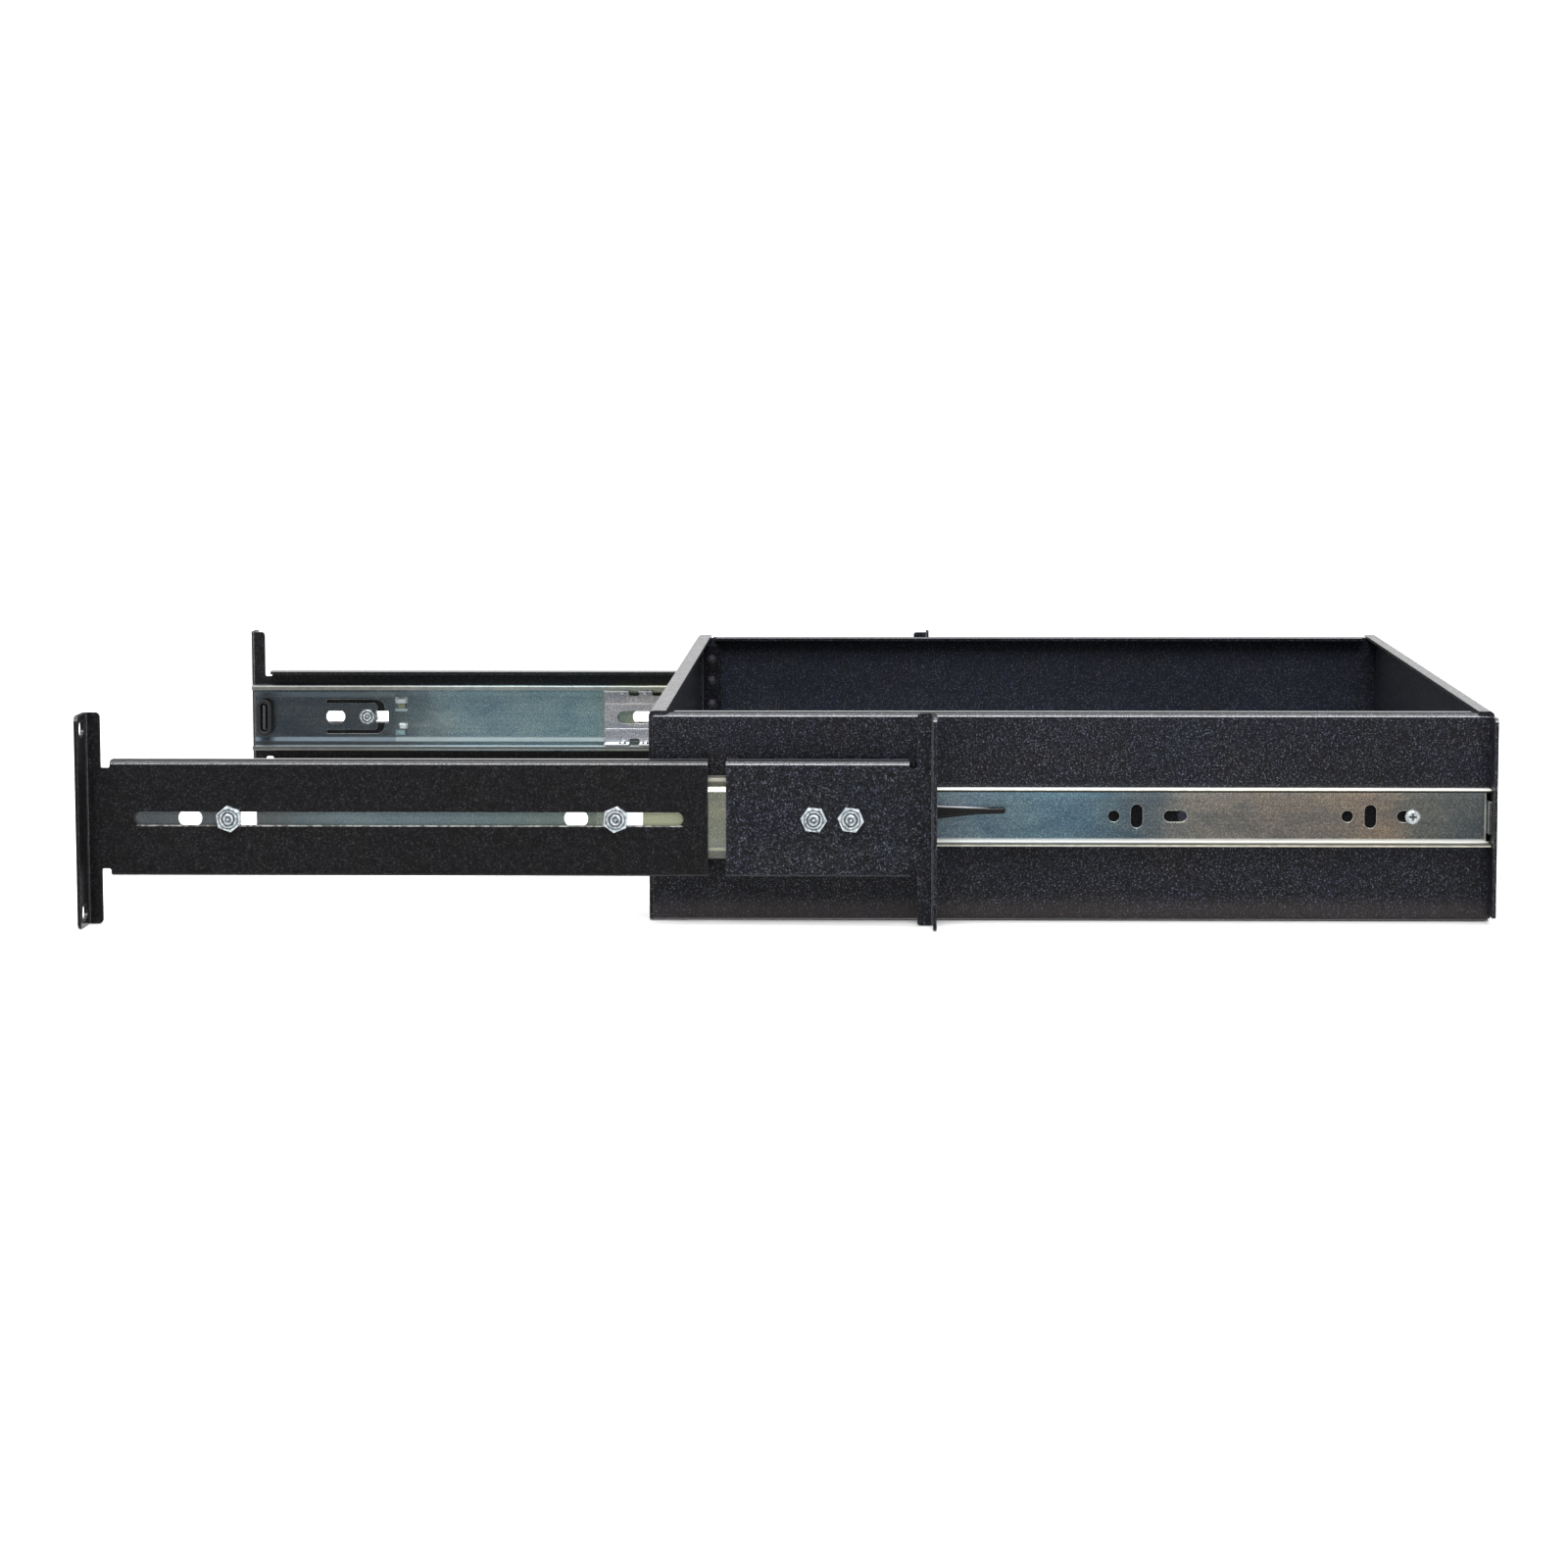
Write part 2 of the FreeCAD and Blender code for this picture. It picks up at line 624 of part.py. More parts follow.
# ----------------------------------------------------------- cabinet members
# The outer slide: a C of zinc-plated steel with ball races under its flanges.
zinc, cz = D("zinc"), D("cab_high")
C = W - wall - D("gap")
Ci = C - zinc
lip, step = D("cab_in"), D("web_step")
bx, bz, race = D("ball_x"), D("ball_z"), D("race_r")
c0, c1 = -D("cab_from"), D("cab_to")
cm = new_body("left_cabinet_member")
pad(
    cm, "CabinetC", "XZ_Plane", c0, c1,
    [
        (step - C, -cz, 2.4), (-lip, -cz, 0.9), (-lip, 2.3 - cz), (-lip - 0.8, 2.3 - cz),
        (-lip - 1.3, zinc - cz), (step - Ci, zinc - cz, 1.2), (step - Ci, -12.9, 0.5),
        (-Ci, -10.8, 0.5), (-Ci, 10.8, 0.5), (step - Ci, 12.9, 0.5), (step - Ci, cz - zinc, 1.2),
        (-lip - 1.3, cz - zinc), (-lip - 0.8, cz - 2.3), (-lip, cz - 2.3),
        (-lip, cz, 0.9), (step - C, cz, 2.4), (step - C, 13.2, 0.5), (-C, 11.1, 0.5),
        (-C, -11.1, 0.5), (step - C, -13.2, 0.5),
    ],
)
pocket(cm, "CabinetRaces", "XZ_Plane", c0 - 1, c1 + 1,
       ("circle", -bx, bz, race), ("circle", -bx, -bz, race))
# stop lug at the front end, turned in from the web, and the bumper post
pad(cm, "StopLug", "XY_Plane", -10.2, -7.0,
    [(-Ci - 0.6, 0.2), (-213.2, 0.2), (-213.2, 1.4), (-Ci + 1.0, 1.4, 0.6), (-Ci + 0.001, 4.6), (-Ci - 0.6, 4.6)])
pad(cm, "BumperPost", "XY_Plane", -6.0, 6.0,
    [(-Ci - 0.6, 343.3), (-213.6, 343.3), (-213.6, 344.5), (-Ci - 0.6, 344.5)])
pads = [box_corners(270.3, 275.7, s * 6.6 - 3.1, s * 6.6 + 3.1, 1.6) for s in (-1, 1)]
pad(cm, "StampedBumps", "YZ_Plane", -Ci - 0.2, 0.9 - Ci, *pads)
soften(cm, "BumpCrowns", "Fillet", 0.75,
       lambda b, e: b.XMin > (0.85 - Ci.value) and b.XLength < 1e-3 and b.YMin > 270 and b.YMax < 276)
web_cut = (-C - 1, 1 - Ci)
fbolt, fpitch = D("front_bolt"), D("front_pitch")
rbolt, rpitch = D("rear_bolt"), D("rear_pitch")
shapes = [("circle", fbolt, 0, 2.5), ("circle", fbolt + fpitch, 0, 2.5)]
for b in (rbolt, rbolt + rpitch):
    shapes.append(("circle", b, 0, 2.5))
    shapes.append(slot_corners(b + 11.6, b + 21.5, -3.5, 3.5))
    shapes.append(box_corners(b - 11.1, b - 4.4, -3.2, 3.2, 0.6))
pocket(cm, "WebHoles", "YZ_Plane", web_cut[0], web_cut[1], *shapes)
# a U-shaped slit frees a tongue around each rear bolt
slit = []
for b in (rbolt, rbolt + rpitch):
    slit.append([
        (b + 21.2, 8.9), (b - 9.2, 8.9, 4.8), (b - 9.2, -8.9, 4.8), (b + 21.2, -8.9),
        (b + 21.2, -7.0), (b - 5.3, -7.0, 2.0), (b - 5.3, 7.0, 2.0), (b + 21.2, 7.0),
    ])
pocket(cm, "TongueSlit", "YZ_Plane", web_cut[0], web_cut[1], *slit)

# ------------------------------------------------------------ drawer members
mh, mo, mt = D("mem_high"), D("mem_out"), D("mem_to")
m0 = y_front + 0.3
dm = new_body("left_drawer_member")
pad(
    dm, "MemberC", "XZ_Plane", m0, mt,
    [
        (-half, -mh, 1.6), (-mo, -mh, 0.35), (-mo, zinc + 0.2 - mh, 0.35), (0.9 - mo, zinc + 0.2 - mh),
        (1.6 - mo, zinc - mh), (-half - zinc, zinc - mh, 0.6),
        (-half - zinc, mh - zinc, 0.6), (1.6 - mo, mh - zinc),
        (0.9 - mo, mh - zinc - 0.2), (-mo, mh - zinc - 0.2, 0.35), (-mo, mh, 0.35), (-half, mh, 1.6),
    ],
)
pocket(dm, "MemberRaces", "XZ_Plane", m0 - 1, mt + 1,
       ("circle", -bx, bz, race), ("circle", -bx, -bz, race))
pad(dm, "EndTab", "XY_Plane", -6.6, 6.6,
    [(-half, y_front, 0.6), (-half, y_front + 3.0), (-half - zinc, y_front + 3.0),
     (-half - zinc, y_front + zinc, 0.5), (-half - 6.0, y_front + zinc), (-half - 6.0, y_front)])
pocket(dm, "EndNotches", "YZ_Plane", -half - zinc - 0.4, 1 - half,
       box_corners(y_front - 1, y_front + 1.4, 6.6, 10.4, 0.4),
       box_corners(y_front - 1, y_front + 1.4, -10.4, -6.6, 0.4))
shapes = []
for g in (-75.0, -171.5, 98.0):
    shapes.append(("circle", g, 0, 2.375))
    shapes.append(slot_corners(g - 9.48 - 2.43, g - 9.48 + 2.43, -4.88, 4.88))
for g in (-100.5, -196.8, 72.0):
    shapes.append(slot_corners(g - 4.8, g + 4.8, -2.35, 2.35))
shapes.append(("circle", D("lever_pivot"), 0, 1.6))
pocket(dm, "MemberHoles", "YZ_Plane", -half - zinc - 0.4, 1 - half, *shapes)

# ------------------------------------------------------------- ball retainers
# A thin strip bent to a C with one finger per ball, running at half speed.
r0, r1, pitch = D("cage_from"), D("cage_to"), D("ball_pitch")
br = new_body("left_ball_retainer")
pad(
    br, "RetainerC", "XZ_Plane", r0, r1,
    [
        (-219.0, -14.3, 1.2), (-211.8, -14.3), (-211.8, -13.5), (-218.2, -13.5, 0.4),
        (-218.2, 13.5, 0.4), (-211.8, 13.5), (-211.8, 14.3), (-219.0, 14.3, 1.2),
    ],
)
first = D("ball_from")
hole = pocket(br, "BallPocket", "XY_Plane", -15, 15, ("circle", -bx, first, 2.05))
row_of(br, "BallPockets", hole.Profile[0], "V_Axis", pitch, 11, [hole])
notch = pocket(
    br, "Notch", "YZ_Plane", -220, -211,
    box_corners(first + 3.4, first + pitch - 3.4, 11.2, 16.0, 0.9),
    box_corners(first + 3.4, first + pitch - 3.4, -16.0, -11.2, 0.9),
)
row_of(br, "Notches", notch.Profile[0], "H_Axis", pitch, 10, [notch])
pad(br, "RetainerRibs", "YZ_Plane", -218.3, -217.8,
    box_corners(r0 + 1.0, r1 - 0.4, 6.0, 7.1), box_corners(r0 + 1.0, r1 - 0.4, -7.1, -6.0))
pocket(br, "RetainerSlots", "YZ_Plane", -220, -217,
       slot_corners(r1 - 24.8, r1 - 6.8, -3.4, 3.4), slot_corners(r1 - 48.9, r1 - 37.0, -3.4, 3.4))

balls = new_body("left_slide_balls")
pair = []
for name, s in (("BallTop", 1), ("BallLow", -1)):
    ball = balls.newObject("PartDesign::AdditiveSphere", name)
    ball.setExpression("Radius", "Dims.ball_r")
    ball.Placement = FreeCAD.Placement(V(-bx.value, first.value, s * bz.value), FreeCAD.Rotation())
    ball.setExpression("Placement.Base.x", (-bx).text)
    ball.setExpression("Placement.Base.y", first.text)
    ball.setExpression("Placement.Base.z", (s * bz).text)
    pair.append(ball)
doc.recompute()
pat = balls.newObject("PartDesign::LinearPattern", "BallRows")
pat.Originals = pair
pat.Direction = (origin_plane(balls, "Y_Axis"), [""])
pat.Occurrences = 11
pat.setExpression("Length", (pitch * 10).text)
balls.Tip = pat
doc.recompute()

# ------------------------------------------------------------ release levers
# A moulded lever in the drawer member's channel; its hook meets the stop lug.
pv, tip = D("lever_pivot"), D("lever_tip")
lv = new_body("left_release_lever")
pad(
    lv, "LeverBar", "YZ_Plane", -214.3, -211.3,
    [
        (-tip, 1.35, 1.1), (-18.0, 1.0), (-1.7, -0.9), (18.7, -2.4), (26.0, -2.9), (46.0, -4.4, 3.0), (pv + 4.5, -4.6, 4.2),
        (pv + 4.5, 4.6, 4.2), (pv - 8.0, 5.4), (-1.7, 4.6), (-21.0, 3.9), (-23.0, 3.75), (-tip, 3.75, 1.1),
    ],
)
pad(lv, "LeverHook", "YZ_Plane", -216.3, -211.3,
    [(18.7, -8.9, 0.5), (22.4, -8.9, 0.5), (26.0, 1.0), (26.0, 2.0), (18.7, 2.0)])
pad(lv, "LeverTail", "YZ_Plane", -213.4, -211.6,
    [(pv - 2.0, -4.3), (pv + 3.0, -7.9, 2.0), (pv + 11.5, -9.6), (pv + 12.0, -8.6), (pv + 3.6, -6.6, 1.6), (pv + 1.5, -4.0)])
pocket(lv, "LeverBore", "YZ_Plane", -217, -211, ("circle", pv, 0, 1.68))
soften(lv, "LeverTipRound", "Fillet", 0.7,
       lambda b, e: b.XMax < -214.29 and b.YMin > -31 and b.YMax < -1.0 and b.YLength > 10)

rivet = new_body("left_lever_rivet")
revolve(
    rivet, "Rivet", "XY_Plane", 0, "H_Axis",
    [(-5.7, 0), (-5.7, 2.0, 0.5), (-4.95, 3.0), (-4.95, 1.6), (-1.8, 1.6), (-1.75, 2.6), (-1.2, 2.6), (-1.2, 1.6), (0, 1.6), (0, 0)],
)
place(rivet, -half, pv, 0)

# ------------------------------------------------------------------- bumpers
bump = new_body("left_rear_bumper")
pad(bump, "BumperRing", "YZ_Plane", -Ci, -213.2, slot_corners(340.1, 347.8, -9.5, 9.5))
pocket(bump, "BumperHole", "YZ_Plane", -Ci - 1, -213, slot_corners(342.2, 345.7, -7.4, 7.4))
soften(bump, "BumperRound", "Fillet", 0.6,
       lambda b, e: b.XMin > -213.3 and b.XLength < 1e-3)

# ----------------------------------------------------------------- fasteners


def bolts(label, y, step):
    body = new_body(label)
    turned = revolve(
        body, "Bolt_" + label, "XY_Plane", 0, "H_Axis",
        [(-6.65, 0), (-6.65, 1.9), (-6.15, 2.4), (0, 2.4), (0, 4.3), (0.5, 4.3, 0.3), (1.1, 3.6, 1.0), (1.45, 1.8, 1.0), (1.45, 0)],
    )
    cross = pocket(body, "Drive_" + label, "YZ_Plane", 0.6, 2.0, CROSS)
    row_of(body, "Bolts_" + label, turned.Profile[0], "V_Axis", step, 2, [turned, cross])
    place(body, -Ci, y, 0)
    return body


def nuts(label, y, spots):
    """Hex nuts at spots (distance from the first, turn in degrees)."""
    body = new_body(label)
    flat, thick = D("nut_flats"), D("nut_thick")
    corner = flat * 0.57735027
    for n, (along, turn) in enumerate(spots):
        along = Size.of(along)
        hexagon = []
        for k in range(6):
            angle = math.radians(turn + 60 * k)
            hexagon.append((along + corner * round(math.cos(angle), 7), corner * round(math.sin(angle), 7)))
        tag = "%s_%d" % (label, n)
        pad(body, "Nut_" + tag, "YZ_Plane", -thick, 0, hexagon)
        for end, a, b in (("Out", -thick - 0.2, -thick + 0.75), ("In", Size.of(0.2), Size.of(-0.35))):
            sk = new_sketch(body, "Sk_Bevel%s_%s" % (end, tag), "XY_Plane", 0)
            sk.AttachmentOffset = FreeCAD.Placement(V(0, along.value, 0), FreeCAD.Rotation())
            if "Dims." in along.text:
                sk.setExpression("AttachmentOffset.Base.y", along.text)
            outline(sk, [(a, 4.5), (a, 6.2), (b, 6.2)])
            bevel = body.newObject("PartDesign::Groove", "Bevel%s_%s" % (end, tag))
            bevel.Profile = sk
            bevel.ReferenceAxis = (sk, ["H_Axis"])
            bevel.Angle = 360
            before = body.Shape.Volume
            doc.recompute()
            if body.Shape.Volume >= before:
                raise RuntimeError("bevel cuts nothing: " + tag)
        pocket(body, "Bore_" + tag, "YZ_Plane", -thick - 1, 1, ("circle", along, 0, 2.42))
    place(body, -W - D("gap"), y, 0)
    return body


def side_screws(label, y, step):
    body = new_body(label)
    turned = revolve(
        body, "Screw_" + label, "XY_Plane", 0, "H_Axis",
        [(4.6, 0), (4.6, 1.5), (4.2, 1.95), (0, 1.95), (0, 3.13), (-1.0, 3.13, 0.3), (-1.7, 2.6, 0.9), (-2.05, 1.4, 0.8), (-2.05, 0)],
    )
    cross = pocket(body, "Drive_" + label, "YZ_Plane", -2.6, -0.9, CROSS)
    row_of(body, "Screws_" + label, turned.Profile[0], "V_Axis", step, 2, [turned, cross])
    place(body, -half - zinc, y, 0)
    return body


front_bolts = bolts("left_front_bolts", fbolt, fpitch)
rear_bolts = bolts("left_rear_bolts", rbolt, rpitch)
front_nuts = nuts("left_front_nuts", fbolt, ((0.0, 7.0), (fpitch, 5.5)))
rear_nuts = nuts("left_rear_nuts", rbolt, ((0.0, 37.6), (rpitch, 20.0)))
member_screws = side_screws("left_drawer_member_screws", -D("screw_front"), D("screw_front") + D("screw_rear"))

for body in (fb, rb, cm, dm, br, balls, lv, rivet, bump, front_bolts, rear_bolts, front_nuts, rear_nuts, member_screws):
    mirror_of(body, body.Label.replace("left_", "right_"))

# -------------------------------------------------------------------- output
doc.recompute()
bad = []
for obj in doc.Objects:
    if "Invalid" in obj.State or "Error" in obj.State:
        bad.append("%s %s" % (obj.Name, obj.State))
pieces = BODIES + MIRRORS
for obj in pieces:
    if obj.Shape.isNull() or not obj.Shape.isValid():
        bad.append(obj.Label + " shape")
if bad:
    raise RuntimeError("; ".join(bad))
os.makedirs("parts", exist_ok=True)
for obj in pieces:
    box = obj.Shape.BoundBox
    print("%-28s solids %2d  volume %10.1f  X %.2f..%.2f Y %.2f..%.2f Z %.2f..%.2f" % (
        obj.Label, len(obj.Shape.Solids), obj.Shape.Volume,
        box.XMin, box.XMax, box.YMin, box.YMax, box.ZMin, box.ZMax))
    obj.Shape.exportStep("parts/%s.step" % obj.Label)
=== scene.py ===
import math

import bpy
from mathutils import Matrix, Vector


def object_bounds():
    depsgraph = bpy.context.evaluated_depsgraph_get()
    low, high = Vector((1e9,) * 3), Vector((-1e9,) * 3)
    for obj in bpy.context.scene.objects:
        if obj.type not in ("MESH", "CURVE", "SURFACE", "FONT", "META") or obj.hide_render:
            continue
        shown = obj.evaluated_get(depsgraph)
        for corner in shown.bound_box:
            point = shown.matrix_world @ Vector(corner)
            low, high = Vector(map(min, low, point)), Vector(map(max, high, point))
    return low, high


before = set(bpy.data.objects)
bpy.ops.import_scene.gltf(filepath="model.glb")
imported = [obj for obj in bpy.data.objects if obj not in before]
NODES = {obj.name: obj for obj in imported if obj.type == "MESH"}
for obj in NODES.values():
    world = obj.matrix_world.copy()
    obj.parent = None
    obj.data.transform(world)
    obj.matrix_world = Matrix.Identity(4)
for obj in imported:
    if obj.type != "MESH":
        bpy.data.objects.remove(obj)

cad_box = [list(map(float, corner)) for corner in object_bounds()]


# ---------------------------------------------------------------- small tools
def lin(r, g, b):
    """An sRGB colour in 0..255 as linear RGBA."""
    out = []
    for c in (r, g, b):
        c = c / 255.0
        out.append(c / 12.92 if c <= 0.04045 else ((c + 0.055) / 1.055) ** 2.4)
    return (*out, 1.0)


class Mat:
    """A node material, built with short calls."""

    def __init__(self, name):
        self.m = bpy.data.materials.new(name)
        self.m.use_nodes = True
        self.nt = self.m.node_tree
        self.nt.nodes.clear()
        self.out = self.nt.nodes.new("ShaderNodeOutputMaterial")
        self.b = self.nt.nodes.new("ShaderNodeBsdfPrincipled")
        self.nt.links.new(self.b.outputs[0], self.out.inputs[0])
        self.coord = self.nt.nodes.new("ShaderNodeTexCoord").outputs["Object"]

    def link(self, a, b):
        self.nt.links.new(a, b)

    def set(self, **values):
        for key, value in values.items():
            self.b.inputs[key.replace("_", " ")].default_value = value

    def scaled(self, sx, sy, sz, loc=(0, 0, 0), vec=None):
        n = self.nt.nodes.new("ShaderNodeMapping")
        n.inputs["Scale"].default_value = (sx, sy, sz)
        n.inputs["Location"].default_value = loc
        self.link(vec or self.coord, n.inputs["Vector"])
        return n.outputs[0]

    def noise(self, scale, detail=2.0, rough=0.5, vec=None, distortion=0.0, colour=False):
        n = self.nt.nodes.new("ShaderNodeTexNoise")
        n.inputs["Scale"].default_value = scale
        n.inputs["Detail"].default_value = detail
        n.inputs["Roughness"].default_value = rough
        n.inputs["Distortion"].default_value = distortion
        self.link(vec or self.coord, n.inputs["Vector"])
        return n.outputs["Color" if colour else "Fac"]

    def voronoi(self, scale, vec=None, feature="F1", what="Distance"):
        n = self.nt.nodes.new("ShaderNodeTexVoronoi")
        n.feature = feature
        n.inputs["Scale"].default_value = scale
        self.link(vec or self.coord, n.inputs["Vector"])
        return n.outputs[what]

    def ramp(self, fac, stops, mode="LINEAR"):
        n = self.nt.nodes.new("ShaderNodeValToRGB")
        n.color_ramp.interpolation = mode
        el = n.color_ramp.elements
        while len(el) > 1:
            el.remove(el[0])
        el[0].position, el[0].color = stops[0][0], stops[0][1]
        for pos, col in stops[1:]:
            e = el.new(pos)
            e.color = col
        self.link(fac, n.inputs[0])
        return n.outputs[0]

    def math(self, op, a, b=None, c=None, clamp=False):
        n = self.nt.nodes.new("ShaderNodeMath")
        n.operation = op
        n.use_clamp = clamp
        for i, v in enumerate((a, b, c)):
            if v is None:
                continue
            if isinstance(v, (int, float)):
                n.inputs[i].default_value = v
            else:
                self.link(v, n.inputs[i])
        return n.outputs[0]

    def mix(self, fac, a, b, blend="MIX"):
        n = self.nt.nodes.new("ShaderNodeMix")
        n.data_type = "RGBA"
        n.blend_type = blend
        n.clamp_factor = True
        for sock, v in ((n.inputs["Factor"], fac), (n.inputs[6], a), (n.inputs[7], b)):
            if isinstance(v, (int, float)):
                sock.default_value = v
            elif isinstance(v, tuple):
                sock.default_value = v
            else:
                self.link(v, sock)
        return n.outputs[2]

    def span(self, value, a, b, lo=0.0, hi=1.0, smooth=False):
        n = self.nt.nodes.new("ShaderNodeMapRange")
        n.clamp = True
        if smooth:
            n.interpolation_type = "SMOOTHSTEP"
        for name, v in (("From Min", a), ("From Max", b), ("To Min", lo), ("To Max", hi)):
            n.inputs[name].default_value = v
        self.link(value, n.inputs["Value"])
        return n.outputs[0]

    def xyz(self, vec=None):
        n = self.nt.nodes.new("ShaderNodeSeparateXYZ")
        self.link(vec or self.coord, n.inputs[0])
        return n.outputs

    def normal_xyz(self):
        g = self.nt.nodes.new("ShaderNodeNewGeometry")
        return self.xyz(g.outputs["Normal"])

    def bevel(self, radius, samples=4):
        n = self.nt.nodes.new("ShaderNodeBevel")
        n.samples = samples
        n.inputs["Radius"].default_value = radius
        return n.outputs[0]

    def edge(self, radius, lo=0.02, hi=0.25, samples=4):
        """1 near sharp edges, 0 on flats."""
        bev = self.bevel(radius, samples)
        geo = self.nt.nodes.new("ShaderNodeNewGeometry")
        dot = self.nt.nodes.new("ShaderNodeVectorMath")
        dot.operation = "DOT_PRODUCT"
        self.link(bev, dot.inputs[0])
        self.link(geo.outputs["Normal"], dot.inputs[1])
        away = self.math("SUBTRACT", 1.0, dot.outputs["Value"])
        return self.span(away, lo, hi), bev

    def bump(self, height, strength, distance, normal=None):
        n = self.nt.nodes.new("ShaderNodeBump")
        n.inputs["Strength"].default_value = strength
        n.inputs["Distance"].default_value = distance
        self.link(height, n.inputs["Height"])
        if normal is not None:
            self.link(normal, n.inputs["Normal"])
        return n.outputs[0]


def paint(node, mat):
    obj = NODES[node]
    mesh = obj.data
    if not mesh.materials:
        mesh.materials.append(mat.m)
    for i in range(len(mesh.materials)):
        mesh.materials[i] = mat.m


# ---------------------------------------------------------------- materials
def powder_coat(name, tint=(1.0, 1.0, 1.0), seed=0.0, warm_foot=None, flange=None, wall=None,
                hidden=None, slot_edge=None, welds=(), bend_line_gain=0.62, free_edge_highlight=(96, 97, 102)):
    """Black powder coat: pebbled skin, dark pits, small pale specks painted in as glints. flange is
    the |x| of the free edge of the turned-in flanges, wall the |x| of the
    inner wall faces, hidden the box (|x|, |z|) covered by the slide."""
    p = Mat(name)
    x, y, z = p.xyz()[0:3]
    ax = p.math("ABSOLUTE", x)
    nx, ny, nz = p.normal_xyz()[0:3]
    vec = p.scaled(1, 1, 1, loc=(seed, seed * 0.7, -seed))
    coarse = p.noise(1350.0, detail=1.0, rough=0.5, vec=vec)
    fine = p.noise(2500.0, detail=1.0, rough=0.5, vec=vec)
    broad = p.noise(20.0, detail=3.0, rough=0.6, vec=vec)
    hue = p.noise(55.0, detail=2.0, rough=0.55, vec=vec)
    peel = p.noise(300.0, detail=3.0, rough=0.6, vec=vec)
    grain = p.math("ADD", p.math("MULTIPLY", coarse, 0.5), p.math("MULTIPLY", fine, 0.5))

    def c(r, g, b):
        return lin(r * tint[0], g * tint[1], b * tint[2])

    base = p.ramp(grain, [
        (0.38, c(4, 4, 6)), (0.46, c(12, 13, 16)), (0.51, c(20, 21, 26)),
        (0.56, c(36, 38, 45)), (0.61, c(62, 65, 74)), (0.67, c(108, 111, 120)),
    ])
    base = p.mix(1.0, base, p.ramp(hue, [
        (0.36, (0.94, 0.98, 1.08, 1)), (0.52, (1.0, 1.0, 1.0, 1)), (0.66, (1.10, 1.04, 0.92, 1))]), "MULTIPLY")
    base = p.mix(1.0, base, p.ramp(broad, [(0.3, (0.80, 0.80, 0.82, 1)), (0.7, (1.20, 1.19, 1.17, 1))]), "MULTIPLY")
    base = p.mix(1.0, base, p.ramp(peel, [(0.34, (0.84, 0.84, 0.85, 1)), (0.52, (1.0, 1.0, 1.0, 1)), (0.66, (1.20, 1.19, 1.18, 1))]), "MULTIPLY")
    if wall is not None:  # inner wall faces painted paler, as painted light where the lamps reach little
        near = p.span(p.math("ABSOLUTE", p.math("SUBTRACT", ax, wall)), 0.0002, 0.0004, 1.0, 0.0)
        base = p.mix(near, base, p.mix(1.0, p.mix(0.35, base, lin(26, 29, 35)), (2.1, 2.15, 2.2, 1), "MULTIPLY"))
    if warm_foot is not None:  # paler and warmer towards the bottom bend of the outer side faces
        foot = p.span(z, warm_foot[0], warm_foot[1], 0.0, 1.0, smooth=True)
        foot = p.math("MULTIPLY", foot, p.span(p.math("ABSOLUTE", nx), 0.6, 0.9))
        foot = p.math("MULTIPLY", foot, p.math("GREATER_THAN", ax, 0.2088))
        base = p.mix(p.math("MULTIPLY", foot, 0.42), base, lin(64, 57, 55))
    # painted highlight: a speckled light line where a bend turns upward, weaker at upright corners
    speck = p.span(p.noise(1500.0, detail=2.0, vec=vec), 0.36, 0.56, 0.25, 1.0)
    crest = p.math("MULTIPLY", p.span(nz, 0.26, 0.36), p.span(nz, 0.50, 0.60, 1.0, 0.0))
    crest = p.math("MULTIPLY", crest, p.span(p.math("ABSOLUTE", ny), 0.05, 0.2, 1.0, 0.0))
    upright = p.math("ABSOLUTE", p.math("MULTIPLY", nx, ny))
    corner = p.math("MULTIPLY", p.span(upright, 0.18, 0.28), p.span(upright, 0.38, 0.46, 1.0, 0.0))
    painted_bend_line = p.math("MULTIPLY", p.math("MAXIMUM", crest, p.math("MULTIPLY", corner, 0.45)), speck)
    base = p.mix(p.math("MULTIPLY", painted_bend_line, bend_line_gain), base, lin(190, 192, 196))
    worn, bev = p.edge(0.0005, 0.02, 0.30)
    patch = p.span(p.noise(520.0, detail=2.0, vec=vec), 0.42, 0.60)
    base = p.mix(p.math("MULTIPLY", worn, p.math("MULTIPLY_ADD", patch, 0.38, 0.05)), base, lin(150, 146, 140))
    flat = p.span(nz, 0.93, 0.985)
    if slot_edge is not None:  # pale lower rim of the long slot: bare metal at the cut, with a painted highlight along it
        rim = p.math("MULTIPLY", p.span(z, -0.00335, -0.00315), p.span(z, -0.0028, -0.0026, 1.0, 0.0))
        rim = p.math("MULTIPLY", rim, p.math("MULTIPLY", p.span(y, 0.1030, 0.1042), p.span(y, 0.3290, 0.3300, 1.0, 0.0)))
        rim = p.math("MULTIPLY", rim, p.math("MULTIPLY_ADD", patch, 0.45, 0.15))
        base = p.mix(rim, base, lin(190, 190, 186))
